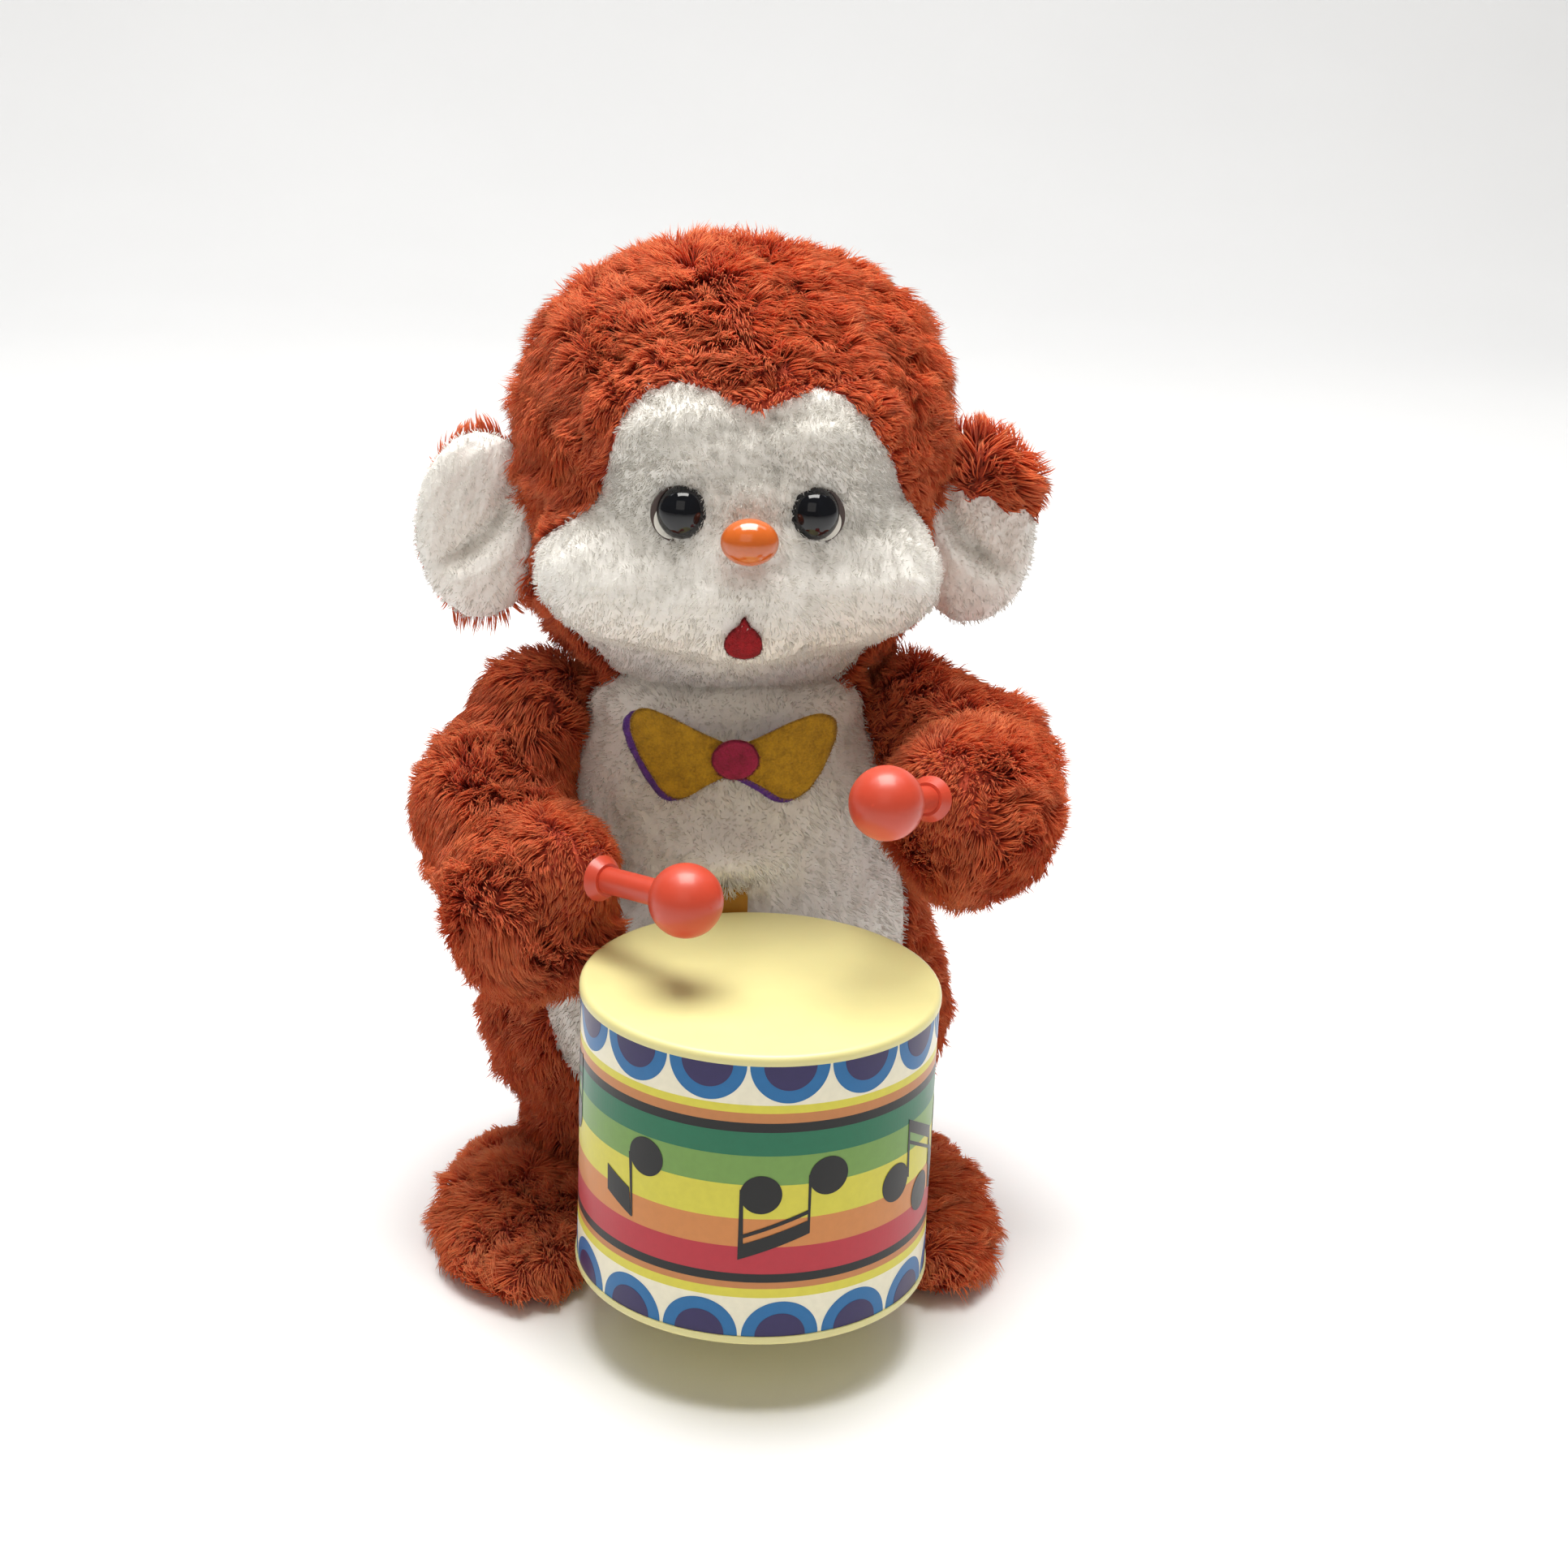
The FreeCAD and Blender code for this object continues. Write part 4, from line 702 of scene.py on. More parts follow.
# the soft belly gives way to the drum behind its rear rim
dx, dy = bv[:, 0] - 2.85, bv[:, 1] + 65.95
rad = np.hypot(dx, dy)
press = (rad < 35.4) & (bv[:, 2] < 74)
scale_ = np.where(press, 35.4 / np.maximum(rad, 1e-6), 1.0)
bv[:, 0], bv[:, 1] = 2.85 + dx * scale_, -65.95 + dy * scale_
# and swells forward round the bracket strip that comes through it
bv = woolly(bv, normals_of(bv, bt), 311)
bv[:, 2] = np.maximum(bv[:, 2], 4.2)
swell = np.exp(-((bv[:, 0] + 1.0) / 10.0) ** 2) * np.exp(-((bv[:, 2] - 79.0) / 5.5) ** 2)
bv[:, 1] -= np.where(bv[:, 1] < -15, 7.6 * swell, 0.0)
bc = bv[bt].mean(1)
BELLY = [
    (-28.0, 116.0), (-30.0, 98.0), (-33.5, 82.0), (-36.5, 64.0), (-36.5, 48.0),
    (-32.0, 34.0), (-22.0, 24.0), (0.0, 19.0), (22.0, 24.0), (32.0, 34.0),
    (36.5, 48.0), (36.5, 64.0), (33.5, 82.0), (30.0, 98.0), (28.0, 116.0),
]
belly_keep = inside_poly(bc[:, [0, 2]], BELLY) & (bc[:, 1] < -6.0)
key_gap = (np.hypot(bc[:, 0], bc[:, 2] - 44.0) < 6.6) & (bc[:, 1] > 0)
slit = (np.abs(bc[:, 0] + 1.0) < 4.3) & (np.abs(bc[:, 2] - 74.6) < 0.9) & (bc[:, 1] < -20)
patch("body_backing", bv, bt, ~belly_keep & ~key_gap, ORANGE_SKIN, "torso", 1.4, ("body_plush",))
patch("belly_backing", bv, bt, belly_keep & ~slit, WHITE_SKIN, "torso", 1.4, ("belly_panel",))


def body_comb(p, n):
    down = np.tile(np.array([0.0, 0.0, -1.0]), (len(p), 1))
    return down


def body_weight(c):
    near_drum = (np.hypot(c[:, 0] - 2.85, c[:, 1] + 65.95) < 37.0) & (c[:, 2] < 74)
    return np.where(near_drum | (c[:, 2] < 5.0), 0.0, 1.0)


def body_len(p):
    key = np.clip((np.hypot(p[:, 0], p[:, 2] - 44.0) - 6.0) / 12.0, 0.25, 1.0)
    return np.where(p[:, 1] > 10, key, 1.0)


fur("body_fur", bv, bt, ~belly_keep & ~key_gap, ORANGE_FUR, "torso", 4.6, 4.6, 0.27, body_comb,
    clump=1.6, stick=0.5, stand=0.74, curl=0.7, jitter=0.45, seed=31, weight_fn=body_weight, length_fn=body_len)
fur("belly_pile", bv, bt, belly_keep & ~slit, WHITE_FUR, "torso", 2.4, 1.4, 0.16, soft_comb,
    clump=1.3, stick=0.35, stand=0.92, curl=0.5, jitter=0.6, seed=41, weight_fn=body_weight)

def hang_comb(p, n):
    return np.tile(np.array([0.0, -0.25, -1.0]), (len(p), 1))


def tuft_weight(c):
    return np.exp(-((c[:, 0] + 1.0) / 4.6) ** 2) * np.exp(-((c[:, 2] - 75.8) / 1.8) ** 2)


over_bracket = belly_keep & (np.abs(bc[:, 0] + 1.0) < 9.0) & (bc[:, 2] > 75.2) & (bc[:, 2] < 79.2) & (bc[:, 1] < -26)
fur("bracket_tuft", bv, bt, over_bracket, WHITE_FUR, "torso", 9.0, 3.4, 0.17, hang_comb,
    clump=1.2, stick=0.4, stand=0.5, curl=0.6, seed=45, weight_fn=tuft_weight, jitter=0.6)

# --------------------------------------------------------------------------
# sleeves
# --------------------------------------------------------------------------

SLEEVES = {
    "right": ((-37.0, 0.5, 98.0), (-45.0, -9.0, 82.0), (-38.5, -37.5, 72.5), "arm_right", 51, -1),
    "left": ((37.5, 0.5, 98.0), (49.5, -11.0, 91.0), (45.0, -36.5, 91.5), "arm_left", 61, 1),
}
for word, (S, E, H, rig, seed, side) in SLEEVES.items():
    F = np.array({"right": (-25.7, -52.0, 84.7), "left": (34.0, -52.0, 100.5)}[word])
    B = np.array({"right": (-11.5, -70.0, 87.7), "left": (23.5, -70.0, 106.3)}[word])
    grip = F - (B - F) / np.linalg.norm(B - F) * 11.5
    fn = blend_of([
        capsule(S, E, 10.8, 12.0), capsule(E, H, 12.2, 12.0), ell(H, (12.4, 13.0, 12.4)), ell(grip, (9.0, 9.0, 9.0)),
    ], 2.0)
    av, at = star(E, fn, 6)
    an = normals_of(av, at)
    patch("sleeve_backing_" + word, av, at, np.ones(len(at), bool), ORANGE_SKIN, rig, 1.2,
          ("arm_plush_" + word,))
    A, B_, C_ = np.array(S, float), np.array(E, float), np.array(H, float)

    def sleeve_comb(p, n, A=A, B_=B_, C_=C_):
        w = np.clip(((p - B_) @ unit(C_ - B_)) / 10.0 + 0.5, 0, 1)[:, None]
        along = unit(B_ - A) * (1 - w) + unit(C_ - B_) * w
        down = np.array([0.0, 0.0, -0.5])
        return along * 0.8 + down

    def sleeve_len(p, F=F, side=side):
        d = np.linalg.norm(p - F, axis=1)
        hold = np.clip((d - 5.0) / 12.0, 0.35, 1.0)
        inner = np.clip((side * p[:, 0] - 24.0) / 10.0, 0.35, 1.0)
        return hold * np.where(p[:, 1] > -30, inner, 1.0)

    fur("sleeve_fur_" + word, av, at, np.ones(len(at), bool), ORANGE_FUR, rig, 6.0, 6.0, 0.25,
        sleeve_comb, clump=1.7, stick=0.5, stand=0.74, curl=0.75, jitter=0.45, seed=seed, length_fn=sleeve_len)

# --------------------------------------------------------------------------
# feet
# --------------------------------------------------------------------------

for side, word, seed in ((-1, "right", 71), (1, "left", 81)):
    fn = blend_of([
        ell((side * 38.5 - 1.0, -33.5, 4.2), (15.0, 27.0, 3.9)),
        ell((side * 37.5, -9.5, 3.2), (14.5, 17.5, 2.8)),
    ], 2.0)
    fv, ft = star((side * 38.5 - 1.0, -27.0, 4.4), fn, 6)
    fv[:, 2] = np.maximum(fv[:, 2], 0.5)
    fc = fv[ft].mean(1)
    patch("foot_backing_" + word, fv, ft, np.ones(len(ft), bool), ORANGE_SKIN, "torso", 1.0,
          ("foot_plush_" + word,))

    def foot_comb(p, n, side=side):
        out = p - np.array([side * 37.5, -20.0, 9.0])
        out[:, 2] = -2.0
        return unit(out)

    def foot_weight(c):
        return np.where(c[:, 2] < 1.0, 0.0, 1.0)

    def foot_len(p, side=side):
        under = np.clip((np.hypot(p[:, 0] - 2.85, p[:, 1] + 65.95) - 30.0) / 8.0, 0.25, 1.0)
        low = np.clip((p[:, 2] + 1.0) / 5.0, 0.45, 1.0)
        rear = np.clip((-6.0 - p[:, 1]) / 14.0, 0.5, 1.0)
        return under * low * rear

    fur("foot_fur_" + word, fv, ft, np.ones(len(ft), bool), FOOT_FUR_PAINTED_LIGHT, "torso", 6.0, 5.8, 0.25,
        foot_comb, clump=1.7, stick=0.5, stand=0.42, curl=0.6, jitter=0.4, seed=seed, weight_fn=foot_weight, length_fn=foot_len)

# --------------------------------------------------------------------------
# ears: padded white front, orange pile behind
# --------------------------------------------------------------------------

for side, word, seed in ((-1, "right", 91), (1, "left", 101)):
    c = np.array([side * 48.5, 3.5, 136.5])
    fn = ell(c, (12.4, 5.6, 18.4))
    ev, et = star(c, fn, 6)
    # front is dished, with a soft fold running from the upper inside to the lower outside
    rel = ev - c
    x, z = rel[:, 0] * side, rel[:, 2]
    front = rel[:, 1] < 0
    r2 = (x / 12.4) ** 2 + (z / 18.4) ** 2
    along = z * 0.80 - x * 0.60
    fold = x * 0.80 + z * 0.60 + 2.0 - 0.022 * (along - 2.0) ** 2
    dish = 3.0 * np.exp(-((r2 / 0.5) ** 2)) * np.clip((fold + 4.0) / 6.0, 0, 1)
    crease = 4.4 * np.exp(-(fold / 2.0) ** 2) * np.clip(1.15 - r2, 0, 1) * np.clip((along + 13.0) / 8.0, 0, 1)
    ev[:, 1] += np.where(front, dish + crease, 0.0)
    ev = woolly(ev, normals_of(ev, et), 321, 0.22, 0.13)
    ec = ev[et].mean(1)
    ex, ez = (ec[:, 0] - c[0]) * side, ec[:, 2] - c[2]
    line = {"right": 40.0, "left": 8.0}[word] - 0.34 * ex + 1.1 * np.sin(ec[:, 0] * 0.9)
    white_keep = (ec[:, 1] < c[1] + 2.2) & (ez < line)
    patch("ear_front_" + word, ev, et, white_keep, WHITE_SKIN, "head", 0.5, ("ear_" + word,))
    patch("ear_back_" + word, ev, et, ~white_keep, ORANGE_SKIN, "head", 0.5)

    def ear_comb(p, n, c=c):
        out = p - c
        out[:, 1] = 0
        out = unit(out)
        out[:, 2] -= np.where(p[:, 1] < c[1], 0.9, 0.0)
        return unit(out)

    fur("ear_pile_" + word, ev, et, white_keep, WHITE_FUR, "head", 2.2, 1.1, 0.15, soft_comb,
        clump=1.3, stick=0.3, stand=0.95, curl=0.4, jitter=0.6, seed=seed)

    def ear_len(p, c=c, word=word):
        top = np.clip((p[:, 2] - c[2] - {"right": 10.0, "left": 5.0}[word]) / 6.0, 0, 1)
        low = np.clip((c[2] - 9.0 - p[:, 2]) / 7.0, 0, 1) * (0.9 if word == "right" else 0.0)
        return 0.30 + 0.78 * np.maximum(top, low)

    fur("ear_fur_" + word, ev, et, ~white_keep, ORANGE_FUR, "head", 4.6, 6.2, 0.34, ear_comb,
        clump=2.0, stick=0.5, stand=0.5, curl=0.4, seed=seed + 1, length_fn=ear_len)

# --------------------------------------------------------------------------
# felt pieces
# --------------------------------------------------------------------------


def smooth_loop(points, per=8):
    """Closed Catmull-Rom curve through control points."""
    p = np.asarray(points, float)
    n = len(p)
    out = []
    for i in range(n):
        a, b, c, d = p[i - 1], p[i], p[(i + 1) % n], p[(i + 2) % n]
        for k in range(per):
            t = k / per
            out.append(0.5 * ((2 * b) + (c - a) * t + (2 * a - 5 * b + 4 * c - d) * t * t + (3 * b - a - 3 * c + d) * t ** 3))
    return np.array(out)


def felt_piece(name, outline, centre, place, thick, mat, body, rings=14, seed=3, puff=0.35):
    """Cut felt: flat inside, softly rounded at its edge. place(x, z, off) maps to the frame."""
    loop = np.asarray(outline, float)
    rng = np.random.default_rng(seed)
    c = np.array(centre, float)
    m = len(loop)
    rough = 1 + 0.006 * np.interp(np.arange(m), np.arange(0, m, 3), rng.normal(size=len(range(0, m, 3))))
    loop = c + (loop - c) * rough[:, None]
    fr = [0.0] + [1 - (1 - k / rings) ** 1.6 for k in range(1, rings + 1)]
    half = thick / 2
    layers = []
    for sgn in (1, -1):
        rows = []
        for s in fr[1:]:
            pts = c + (loop - c) * s
            edge = np.linalg.norm(loop - c, axis=1) * (1 - s)
            prof = half * np.sqrt(np.clip(1 - np.clip(1 - edge / half, 0, 1) ** 2, 0, 1))
            prof = prof * (1 + puff * 0.15 * np.sin(pts[:, 0] * 1.9) * np.cos(pts[:, 1] * 2.3))
            rows.append(place(pts[:, 0], pts[:, 1], sgn * prof))
        layers.append(rows)
    verts, tris = [], []
    top0 = len(verts)
    verts.append(place(np.array([c[0]]), np.array([c[1]]), np.array([half]))[0])
    base_top = 1
    for r in layers[0]:
        verts.extend(r)
    k = rings
    for j in range(m):
        j2 = (j + 1) % m
        tris.append((0, base_top + j, base_top + j2))
    for i in range(k - 1):
        for j in range(m):
            j2 = (j + 1) % m
            a, b = base_top + i * m + j, base_top + i * m + j2
            e, g = a + m, b + m
            tris += [(a, e, g), (a, g, b)]
    bot_c = len(verts)
    verts.append(place(np.array([c[0]]), np.array([c[1]]), np.array([-half]))[0])
    base_bot = len(verts)
    for r in layers[1][:-1]:
        verts.extend(r)
    for j in range(m):
        j2 = (j + 1) % m
        tris.append((bot_c, base_bot + j2, base_bot + j))
    rim = base_top + (k - 1) * m
    for i in range(k - 1):
        for j in range(m):
            j2 = (j + 1) % m
            a, b = base_bot + i * m + j, base_bot + i * m + j2
            if i < k - 2:
                e, g = a + m, b + m
            else:
                e, g = rim + j, rim + j2
            tris += [(a, g, e), (a, b, g)]
    ob = mesh_object(name, np.array(verts), np.array(tris), mat)
    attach(ob, body)
    return ob, loop


def fuzz(name, loop, place, mat, body, n, length, seed):
    """Loose fibres along a felt edge and over its face."""
    rng = np.random.default_rng(seed)
    n = int(n * DENSITY)
    c = loop.mean(0)
    i = rng.integers(0, len(loop), n)
    s = np.where(rng.uniform(size=n) < 0.45, rng.uniform(0.97, 1.0, n), np.sqrt(rng.uniform(0.0, 0.95, n)))
    q = c + (loop[i] - c) * s[:, None] + rng.normal(size=(n, 2)) * 0.05
    base = place(q[:, 0], q[:, 1], np.full(n, 0.42))
    dirs = unit(rng.normal(size=(n, 3)) * np.array([1.0, 0.55, 1.0]) + np.array([0, -0.35, 0]))
    L = length * rng.uniform(0.5, 1.2, n)
    tip = base + dirs * L[:, None]
    mid1 = base + dirs * (L * 0.34)[:, None] + rng.normal(size=(n, 3)) * 0.04
    mid2 = base + dirs * (L * 0.68)[:, None] + rng.normal(size=(n, 3)) * 0.06
    return strands(name, base, mid1, mid2, tip, np.full(n, 0.07), rng.uniform(0.2, 0.8, n), mat, body, sink=0.15)


# The loose fibres also run from a darker root (painted shade) to a lighter tip.
MUSTARD_FIBRE = fur_mat("mustard_fibre", srgb("#90680f"), srgb("#b0841a"), srgb("#c89c38"), 0.004, 0.15)
PURPLE_FIBRE = fur_mat("purple_fibre", srgb("#4c2a7c"), srgb("#6d3fa0"), srgb("#8058b4"), 0.004, 0.15)
MAGENTA_FIBRE = fur_mat("magenta_fibre", srgb("#7c1834"), srgb("#a02448"), srgb("#b84064"), 0.004, 0.15)
RED_FIBRE = fur_mat("red_fibre", srgb("#5c080e"), srgb("#821016"), srgb("#9c2428"), 0.004, 0.15)

BOW = [
    (-0.2, 2.9), (4.8, 4.6), (10.5, 7.2), (15.6, 8.4), (18.8, 7.2), (19.4, 3.6), (18.0, -0.6),
    (15.4, -5.6), (12.4, -8.2), (9.0, -8.0), (4.6, -5.2), (-0.2, -3.2), (-5.2, -5.2), (-9.4, -8.0),
    (-12.6, -8.0), (-15.8, -4.4), (-18.6, 0.6), (-20.0, 4.6), (-19.4, 8.2), (-16.2, 9.0), (-10.8, 7.0), (-5.0, 4.4),
]


def chest(y0, dx, dz, lean=0.010):
    def place(x, z, off):
        xx, zz = x + dx, z + 100.6 + dz
        y = y0 + lean * xx ** 2 - off
        return np.stack([xx, y, zz], -1)
    return place


bow_loop = smooth_loop(BOW, 7)
pb, pf = chest(-29.7, -1.2, -1.0), chest(-30.9, 0.0, 0.0)
ob, lp = felt_piece("bow_back_felt", bow_loop, (0, -0.1), pb, 1.0, PURPLE_FELT, "torso", seed=5)
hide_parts("bow_back")
fuzz("bow_back_fibres", lp, pb, PURPLE_FIBRE, "torso", 1500, 0.8, 6)
ob, lp = felt_piece("bow_front_felt", bow_loop, (0, -0.1), pf, 1.0, MUSTARD_FELT, "torso", seed=7)
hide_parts("bow_front")
fuzz("bow_front_fibres", lp, pf, MUSTARD_FIBRE, "torso", 3000, 0.8, 8)
knot = np.array([(4.5 * math.cos(a), 4.0 * math.sin(a)) for a in np.linspace(0, 2 * math.pi, 72, endpoint=False)])
pk = chest(-32.0, -0.2, 0.3)
ob, lp = felt_piece("bow_knot_felt", knot, (0, 0), pk, 1.2, MAGENTA_FELT, "torso", seed=9)
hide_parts("bow_knot")
fuzz("bow_knot_fibres", lp, pk, MAGENTA_FIBRE, "torso", 900, 0.7, 10)

MOUTH = [(0.0, 4.1), (1.0, 2.6), (2.7, 0.9), (3.5, -1.2), (2.8, -3.2), (0.2, -4.0), (-2.6, -3.2), (-3.5, -1.2), (-2.7, 0.9), (-1.0, 2.6)]


def lip(x, z, off):
    xx, zz = x - 0.7, z + 129.0
    y = -46.0 + 0.022 * xx ** 2 + 0.012 * (zz - 131) ** 2 - off
    return np.stack([xx, y, zz], -1)


ob, lp = felt_piece("mouth_felt", smooth_loop(MOUTH, 8), (0, -0.4), lip, 1.0, RED_FELT, "head", rings=9, seed=13)
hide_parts("mouth")
fuzz("mouth_fibres", lp, lip, RED_FIBRE, "head", 700, 0.6, 14)

# --------------------------------------------------------------------------
# printed drum label, laid on the paper as thin print
# --------------------------------------------------------------------------

DX, DY, R0 = 2.85, -65.95, 32.5


def print_mat(name, col, spread=0.03):
    m, nt, b = new_mat(name)
    noise_colour(nt, b, srgb(col), spread, 700.0, 4.0, (0.32, 0.42), 0.04, 2500.0)
    b.inputs["Specular IOR Level"].default_value = 0.3
    b.inputs["Coat Weight"].default_value = 0.12
    b.inputs["Coat Roughness"].default_value = 0.2
    return m


INK = {
    "cream": print_mat("ink_cream", "#ece7d0"), "yellow": print_mat("ink_yellow", "#d8cf48"),
    "tan": print_mat("ink_tan", "#c07e4a"), "black": print_mat("ink_black", "#121213", 0.1),
    "teal": print_mat("ink_teal", "#1b6d4e"), "green": print_mat("ink_green", "#72994c"),
    "gold": print_mat("ink_gold", "#d2ca46"), "orange": print_mat("ink_orange", "#cc8448"),
    "red": print_mat("ink_red", "#b52c3a"), "blue": print_mat("ink_blue", "#1a69a4"),
    "indigo": print_mat("ink_indigo", "#2e2558", 0.05),
}


def on_drum(s, z, lift):
    """s: arc length in mm from the front generator (towards +X), z: height."""
    a = s / R0
    r = R0 + lift
    return np.stack([DX + r * np.sin(a), DY - r * np.cos(a), z + 0 * s], -1)


PRINTS = {}


def add_print(ink, pts_top, tris, lift):
    """Thin closed slab following the drum; pts_top is (s, z) per vertex."""
    p = np.asarray(pts_top, float)
    tris = np.asarray(tris, int)
    m = len(p)
    outer = on_drum(p[:, 0], p[:, 1], lift)
    inner = on_drum(p[:, 0], p[:, 1], lift - 0.03)
    edges = {}
    for a, b, c in tris:
        for e in ((a, b), (b, c), (c, a)):
            edges[e] = 1
    rim = [e for e in edges if (e[1], e[0]) not in edges]
    side = []
    for a, b in rim:
        side += [(b, a, a + m), (b, a + m, b + m)]
    f = np.concatenate([tris, tris[:, ::-1] + m, np.array(side, int).reshape(-1, 3)])
    v, t, k = PRINTS.setdefault(ink, [[], [], 0])
    v.append(np.concatenate([outer, inner]))
    t.append(f + k)
    PRINTS[ink][2] += 2 * m


def band(ink, z0, z1, lift=0.04):
    n = 240
    s = np.linspace(0, 2 * np.pi * R0, n, endpoint=False)
    p = np.concatenate([np.stack([s, np.full(n, z0)], 1), np.stack([s, np.full(n, z1)], 1)])
    t = []
    for i in range(n):
        j = (i + 1) % n
        t += [(i, j, n + j), (i, n + j, n + i)]
    # closed all round, so the slab has only its two rims
    add_print(ink, p, t, lift)


def strip(ink, cols, z0, z1, lift):
    """Print between two curves, cut into narrow upright strips so that it follows the tube."""
    cols, z0, z1 = (np.asarray(q, float) for q in (cols, z0, z1))
    n = len(cols)
    p = np.concatenate([np.stack([cols, z0], 1), np.stack([cols, z1], 1)])
    t = []
    for i in range(n - 1):
        t += [(i, i + 1, n + i + 1), (i, n + i + 1, n + i)]
    add_print(ink, p, t, lift)


def shape(ink, loop, lift, step=0.55):
    """Any outline crossed at most twice by an upright line."""
    loop = np.asarray(loop, float)
    lo, hi = loop[:, 0].min(), loop[:, 0].max()
    eps = (hi - lo) * 1e-4
    cols = np.unique(np.concatenate([np.linspace(lo + eps, hi - eps, max(3, int((hi - lo) / step) + 1)), np.clip(loop[:, 0], lo + eps, hi - eps)]))
    z0, z1 = [], []
    for c in cols:
        hit = []
        for i in range(len(loop)):
            a, b = loop[i - 1], loop[i]
            if (a[0] <= c) != (b[0] <= c):
                hit.append(a[1] + (b[1] - a[1]) * (c - a[0]) / (b[0] - a[0]))
        if len(hit) < 2:
            hit = [loop[:, 1].mean()] * 2
        z0.append(min(hit))
        z1.append(max(hit) + 1e-4)
    strip(ink, cols, z0, z1, lift)


def front_z(px):
    """Height of the drum's front generator seen at picture row px."""
    y = DY - R0
    lo, hi = 10.0, 75.0
    for _ in range(40):
        mid = (lo + hi) / 2
        if project(np.array([[DX, y, mid]]))[0, 1] > px:
            lo = mid
        else:
            hi = mid
    return (lo + hi) / 2


Z_TOP, Z_BOT = 68.74, 15.96
ROWS = [
    (None, 1362.5, "cream"), (1362.5, 1372.5, "yellow"), (1372.5, 1384.5, "tan"), (1384.5, 1396, "black"),
    (1396, 1425, "teal"), (1425, 1461, "green"), (1461, 1502.5, "gold"), (1502.5, 1537, "orange"),
    (1537, 1570, "red"), (1570, 1580.5, "black"), (1580.5, 1588.3, "tan"), (1588.3, 1599.4, "yellow"),
    (1599.4, None, "cream"),
]
for a, b, ink in ROWS:
    z1 = Z_TOP if a is None else front_z(a)
    z0 = Z_BOT if b is None else front_z(b)
    band(ink, z0, z1)


def half_disc(ink, s0, edge_z, r, up, lift, n=41):
    cols = s0 - r * np.cos(np.linspace(0, math.pi, n))
    arc = np.sqrt(np.maximum(r * r - (cols - s0) ** 2, 1e-8))
    lo = np.full(n, edge_z) if up > 0 else edge_z - arc
    hi = edge_z + arc if up > 0 else np.full(n, edge_z)
    strip(ink, cols, lo, hi, lift)


STEP = 2 * math.pi * R0 / 14
OFF = math.radians(4.5) * R0
for i in range(14):
    s0 = OFF + i * STEP
    half_disc("blue", s0, Z_TOP, 7.05, -1, 0.08)
    half_disc("indigo", s0, Z_TOP, 4.65, -1, 0.12)
    half_disc("blue", s0, Z_BOT, 6.95, 1, 0.08)
    half_disc("indigo", s0, Z_BOT, 4.55, 1, 0.12)


def pix(x, y):
    """Picture point to (s, z) on the drum."""
    d = CF * CAM_F + CR * (x - 966) - CU * (y - 966)
    d = d / np.linalg.norm(d)
    o = CAM_POS - np.array([DX, DY, 0])
    A = d[0] ** 2 + d[1] ** 2
    B = o[0] * d[0] + o[1] * d[1]
    C = o[0] ** 2 + o[1] ** 2 - (R0 + 0.1) ** 2
    q = B * B - A * C
    t = (-B - math.sqrt(max(q, 0.0))) / A
    h = CAM_POS + d * t
    return math.atan2(h[0] - DX, -(h[1] - DY)) * R0, h[2]


def blob(cx, cz, r=3.7, lift=0.12, n=33):
    a = np.linspace(0, math.pi, n)
    cols = cx - r * np.cos(a)
    arc = np.sqrt(np.maximum(r * r - (cols - cx) ** 2, 1e-8))
    strip("black", cols, cz - arc, cz + arc, lift)


def quad(pts, lift=0.125):
    shape("black", [pix(*q) for q in pts], lift)


def head_at(x, y):
    blob(*pix(x, y))


# single note, upside down
head_at(795.3, 1424.9)
quad([(774.9, 1418), (778.6, 1418), (778.9, 1498), (777.3, 1499)])
quad([(748.9, 1432.4), (748.9, 1463.9), (777.6, 1498.6), (775.0, 1463)], 0.13)
# pair, upside down
head_at(937.8, 1472.9)
head_at(1021.9, 1448.0)
quad([(911.4, 1466), (915.8, 1466), (915.2, 1548), (908.3, 1552.3)])
quad([(997.0, 1448), (1000.6, 1448), (997.6, 1519), (994.6, 1520)])
quad([(909.0, 1534.6), (996.0, 1503.5), (997.3, 1519.3), (908.3, 1552.3)], 0.13)
quad([(912.0, 1522.0), (996.0, 1490.8), (996.4, 1495.6), (912.0, 1526.6)], 0.13)
# pair at the right, right way up
head_at(1104.0, 1457.0)
head_at(1132.6, 1466.3)
quad([(1117.0, 1450), (1119.6, 1450), (1122.0, 1379.5), (1120.4, 1379.4)])
quad([(1142.0, 1462), (1143.8, 1462), (1145.3, 1386.6), (1144.0, 1386.6)])
quad([(1120.6, 1379.4), (1145.2, 1386.4), (1144.4, 1401.6), (1121.4, 1394.6)], 0.13)
quad([(1120.8, 1404.8), (1144.2, 1410.6), (1144.0, 1414.6), (1120.6, 1409.4)], 0.13)

# the same notes again round the rest of the tube


def pair(s, z, k):
    for q in (0, 1):
        x, y = s + 12.3 * q, z + 3.9 * q
        blob(x, y)
        e = x + k * 3.35
        shape("black", [(e - 0.3, y), (e + 0.3, y), (e + 0.3, y + k * 12.2), (e - 0.3, y + k * 12.2)], 0.125)
    x0, x1 = s + k * 3.35 - 0.3, s + 12.3 + k * 3.35 + 0.3
    for h, w in ((12.2, 2.5), (8.4, 0.7)):
        a, b = z + k * h, z + 3.9 + k * h
        shape("black", [(x0, a), (x1, b), (x1, b - k * w), (x0, a - k * w)], 0.13)


def single(s, z, k):
    blob(s, z)
    e = s + k * 3.35
    shape("black", [(e - 0.3, z), (e + 0.3, z), (e + 0.3, z + k * 11.8), (e - 0.3, z + k * 11.8)], 0.125)
    f = e + k * 4.6
    shape("black", [(e, z + k * 11.8), (f, z + k * 6.4), (f, z + k * 1.6), (e, z + k * 6.4)], 0.13)


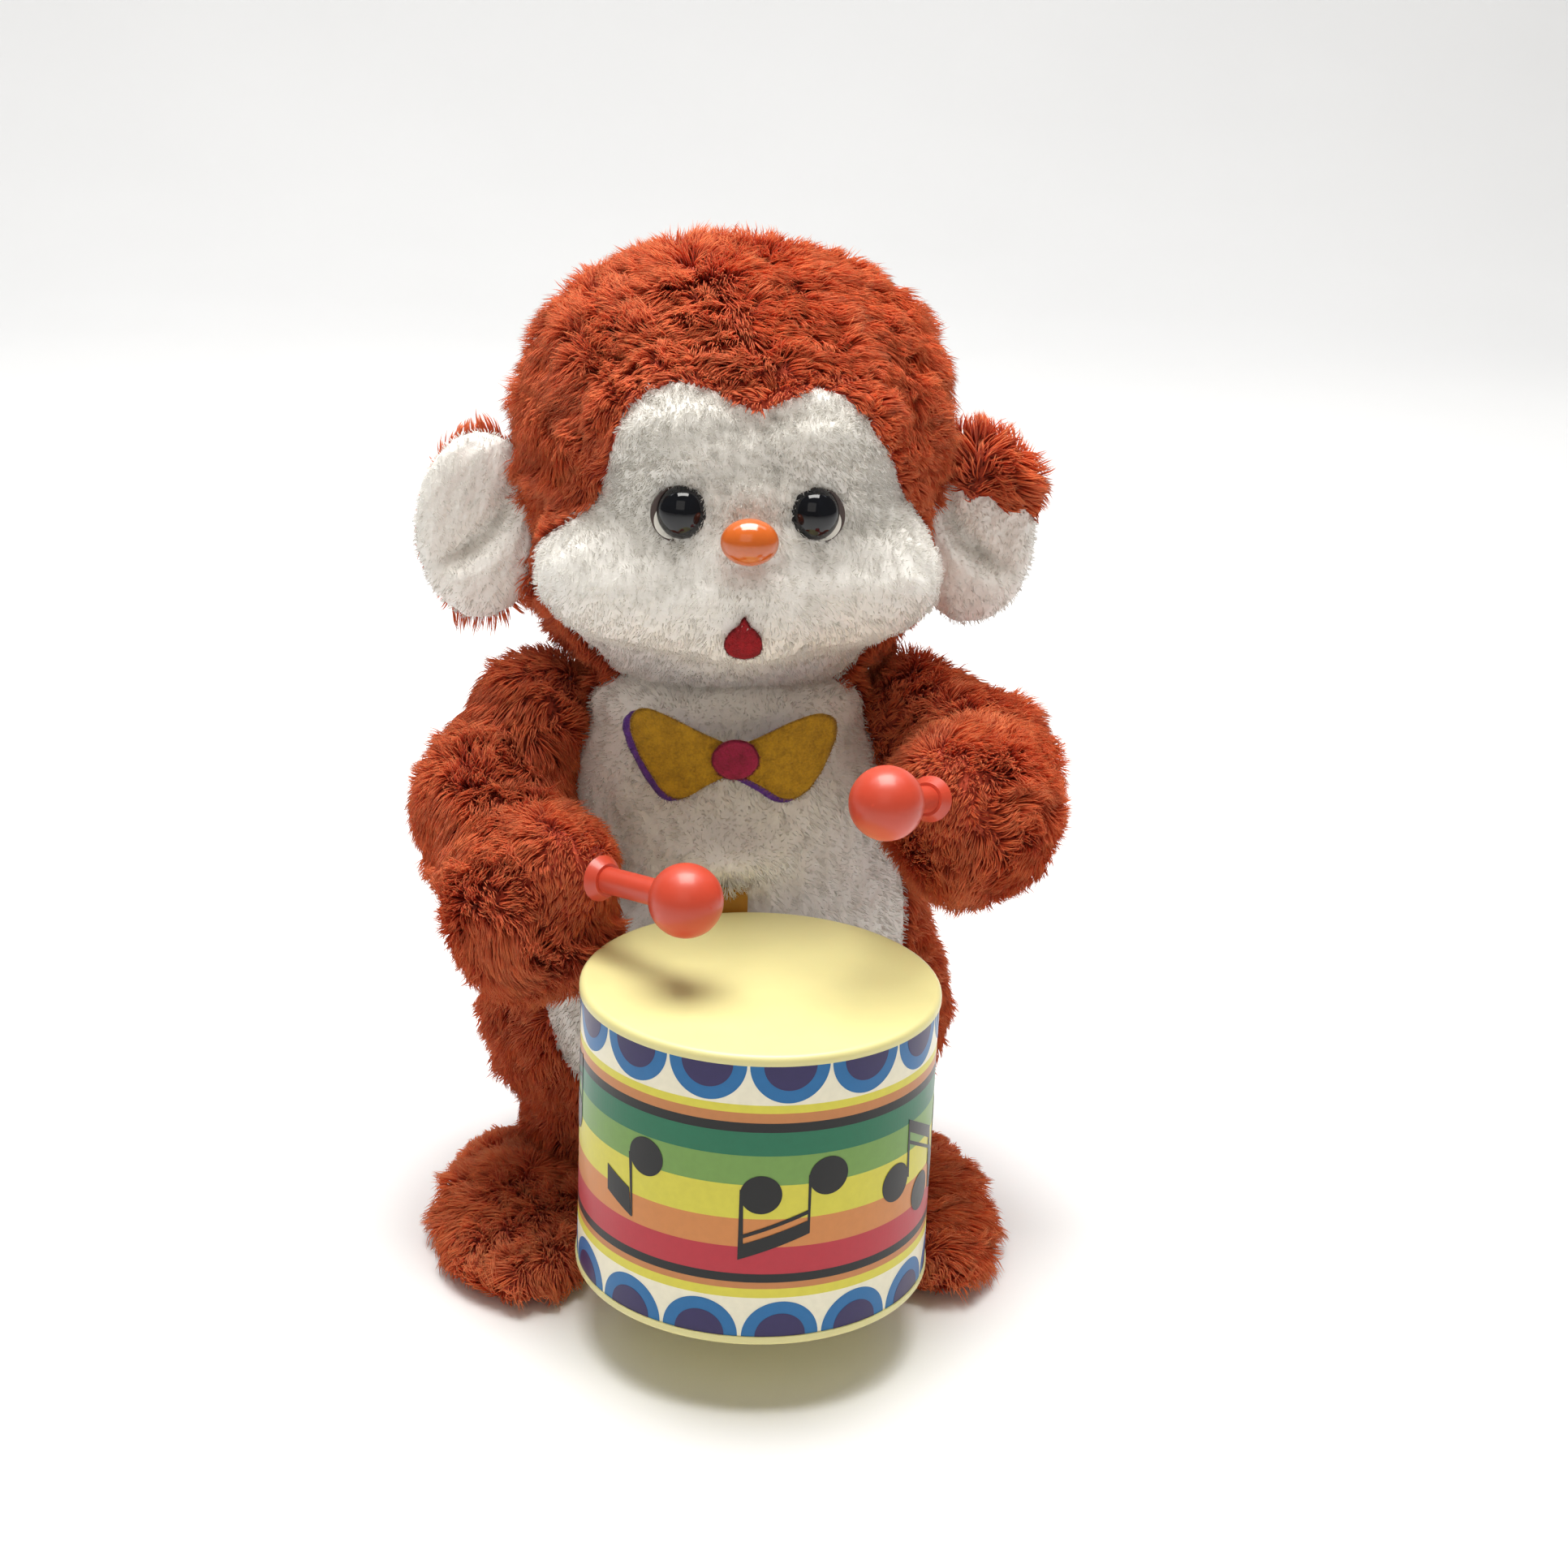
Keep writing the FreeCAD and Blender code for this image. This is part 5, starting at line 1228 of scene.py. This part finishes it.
pair(-61.8, 42.2, 1)
single(47.5, 45.5, -1)
pair(62.0, 41.5, -1)
single(87.5, 44.0, -1)
pair(-101.0, 43.0, 1)
single(-76.5, 46.0, -1)

for ink, (v, t, k) in PRINTS.items():
    ob = mesh_object("label_print_" + ink, np.concatenate(v), np.concatenate(t), INK[ink], False)
    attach(ob, "torso")

# --------------------------------------------------------------------------
# CAD pieces that show
# --------------------------------------------------------------------------

for name, ang in (
    ("drum_label", 30), ("drum_shell", 30), ("drum_head", 30), ("drum_bottom", 30), ("drumstick_right", 50),
    ("drumstick_left", 50), ("nose", 60), ("eye_domes", 40), ("eye_whites", 30), ("winding_key", 35),
    ("key_grommet", 35), ("drum_bracket", 25), ("stick_washer_right", 30), ("stick_washer_left", 30),
    ("base_plate", 30), ("arm_shaft", 30), ("winding_arbor", 30),
):
    smooth_cad(name, ang)

# --------------------------------------------------------------------------
# stage
# --------------------------------------------------------------------------

floor_m, nt, b = new_mat("floor_paper")
noise_colour(nt, b, (0.86, 0.87, 0.89), 0.01, 6.0, 2.0, (0.55, 0.65))
bm = bmesh.new()
n = 40
prof = [(-2.2, 0.0), (0.9, 0.0)]
for i in range(1, 13):
    a = math.radians(90 * i / 12)
    prof.append((0.9 + 0.6 * math.sin(a), 0.6 - 0.6 * math.cos(a)))
prof.append((1.5, 2.4))
rows = []
for x in (-2.6, 2.6):
    rows.append([bm.verts.new((x, y, z)) for y, z in prof])
for i in range(len(prof) - 1):
    bm.faces.new((rows[0][i], rows[1][i], rows[1][i + 1], rows[0][i + 1]))
me = bpy.data.meshes.new("floor")
bm.to_mesh(me)
bm.free()
for p in me.polygons:
    p.use_smooth = True
me.materials.append(floor_m)
floor = bpy.data.objects.new("floor", me)
scene.collection.objects.link(floor)


def area(name, pos, target, size, power, col=(1, 1, 1)):
    l = bpy.data.lights.new(name, "AREA")
    l.shape = "RECTANGLE"
    l.size, l.size_y = size
    l.energy = power
    l.color = col
    o = bpy.data.objects.new(name, l)
    o.location = pos
    d = Vector(target) - Vector(pos)
    o.rotation_euler = d.to_track_quat("-Z", "Y").to_euler()
    scene.collection.objects.link(o)
    return o


area("top_softbox", (0.0, 0.02, 1.0), (0, -0.03, 0.08), (0.62, 0.62), 14.2, (1.0, 0.98, 0.94))
area("front_fill", (-0.3, -1.2, 0.9), (0, 0, 0.1), (0.9, 0.9), 1.5, (1.0, 0.95, 0.88))
area("sweep_light", (0.0, 0.55, 1.9), (0, 1.5, 0.1), (3.0, 0.8), 16.0, (0.93, 0.97, 1.0))
world = bpy.data.worlds.new("studio")
scene.world = world
world.use_nodes = True
wt = world.node_tree
wn = wt.nodes["Background"]
lp = wt.nodes.new("ShaderNodeLightPath")
mr = wt.nodes.new("ShaderNodeMapRange")
mr.inputs["To Min"].default_value, mr.inputs["To Max"].default_value = 0.30, 0.10
wt.links.new(lp.outputs["Is Glossy Ray"], mr.inputs["Value"])
wt.links.new(mr.outputs["Result"], wn.inputs["Strength"])
mc = wt.nodes.new("ShaderNodeMix")
mc.data_type = "RGBA"
wt.links.new(lp.outputs["Is Camera Ray"], mc.inputs["Factor"])
mc.inputs[6].default_value = (1.0, 0.90, 0.77, 1.0)
mc.inputs[7].default_value = (2.6, 2.75, 2.85, 1.0)
wt.links.new(mc.outputs[2], wn.inputs["Color"])

cam = bpy.data.cameras.new("main")
cam.sensor_width = 36.0
cam.lens = CAM_F / 1932.0 * 36.0
cam.clip_start, cam.clip_end = 0.01, 20.0
co = bpy.data.objects.new("main", cam)
mw = Matrix.Identity(4)
for i, axis in enumerate((CR, CU, -CF)):
    for j in range(3):
        mw[j][i] = axis[j]
for j in range(3):
    mw[j][3] = CAM_POS[j] * MM
co.matrix_world = mw
scene.collection.objects.link(co)
scene.camera = co
scene.cycles.diffuse_bounces = 8
scene.view_settings.view_transform = "Standard"
scene.view_settings.look = "None"

bpy.context.view_layer.update()
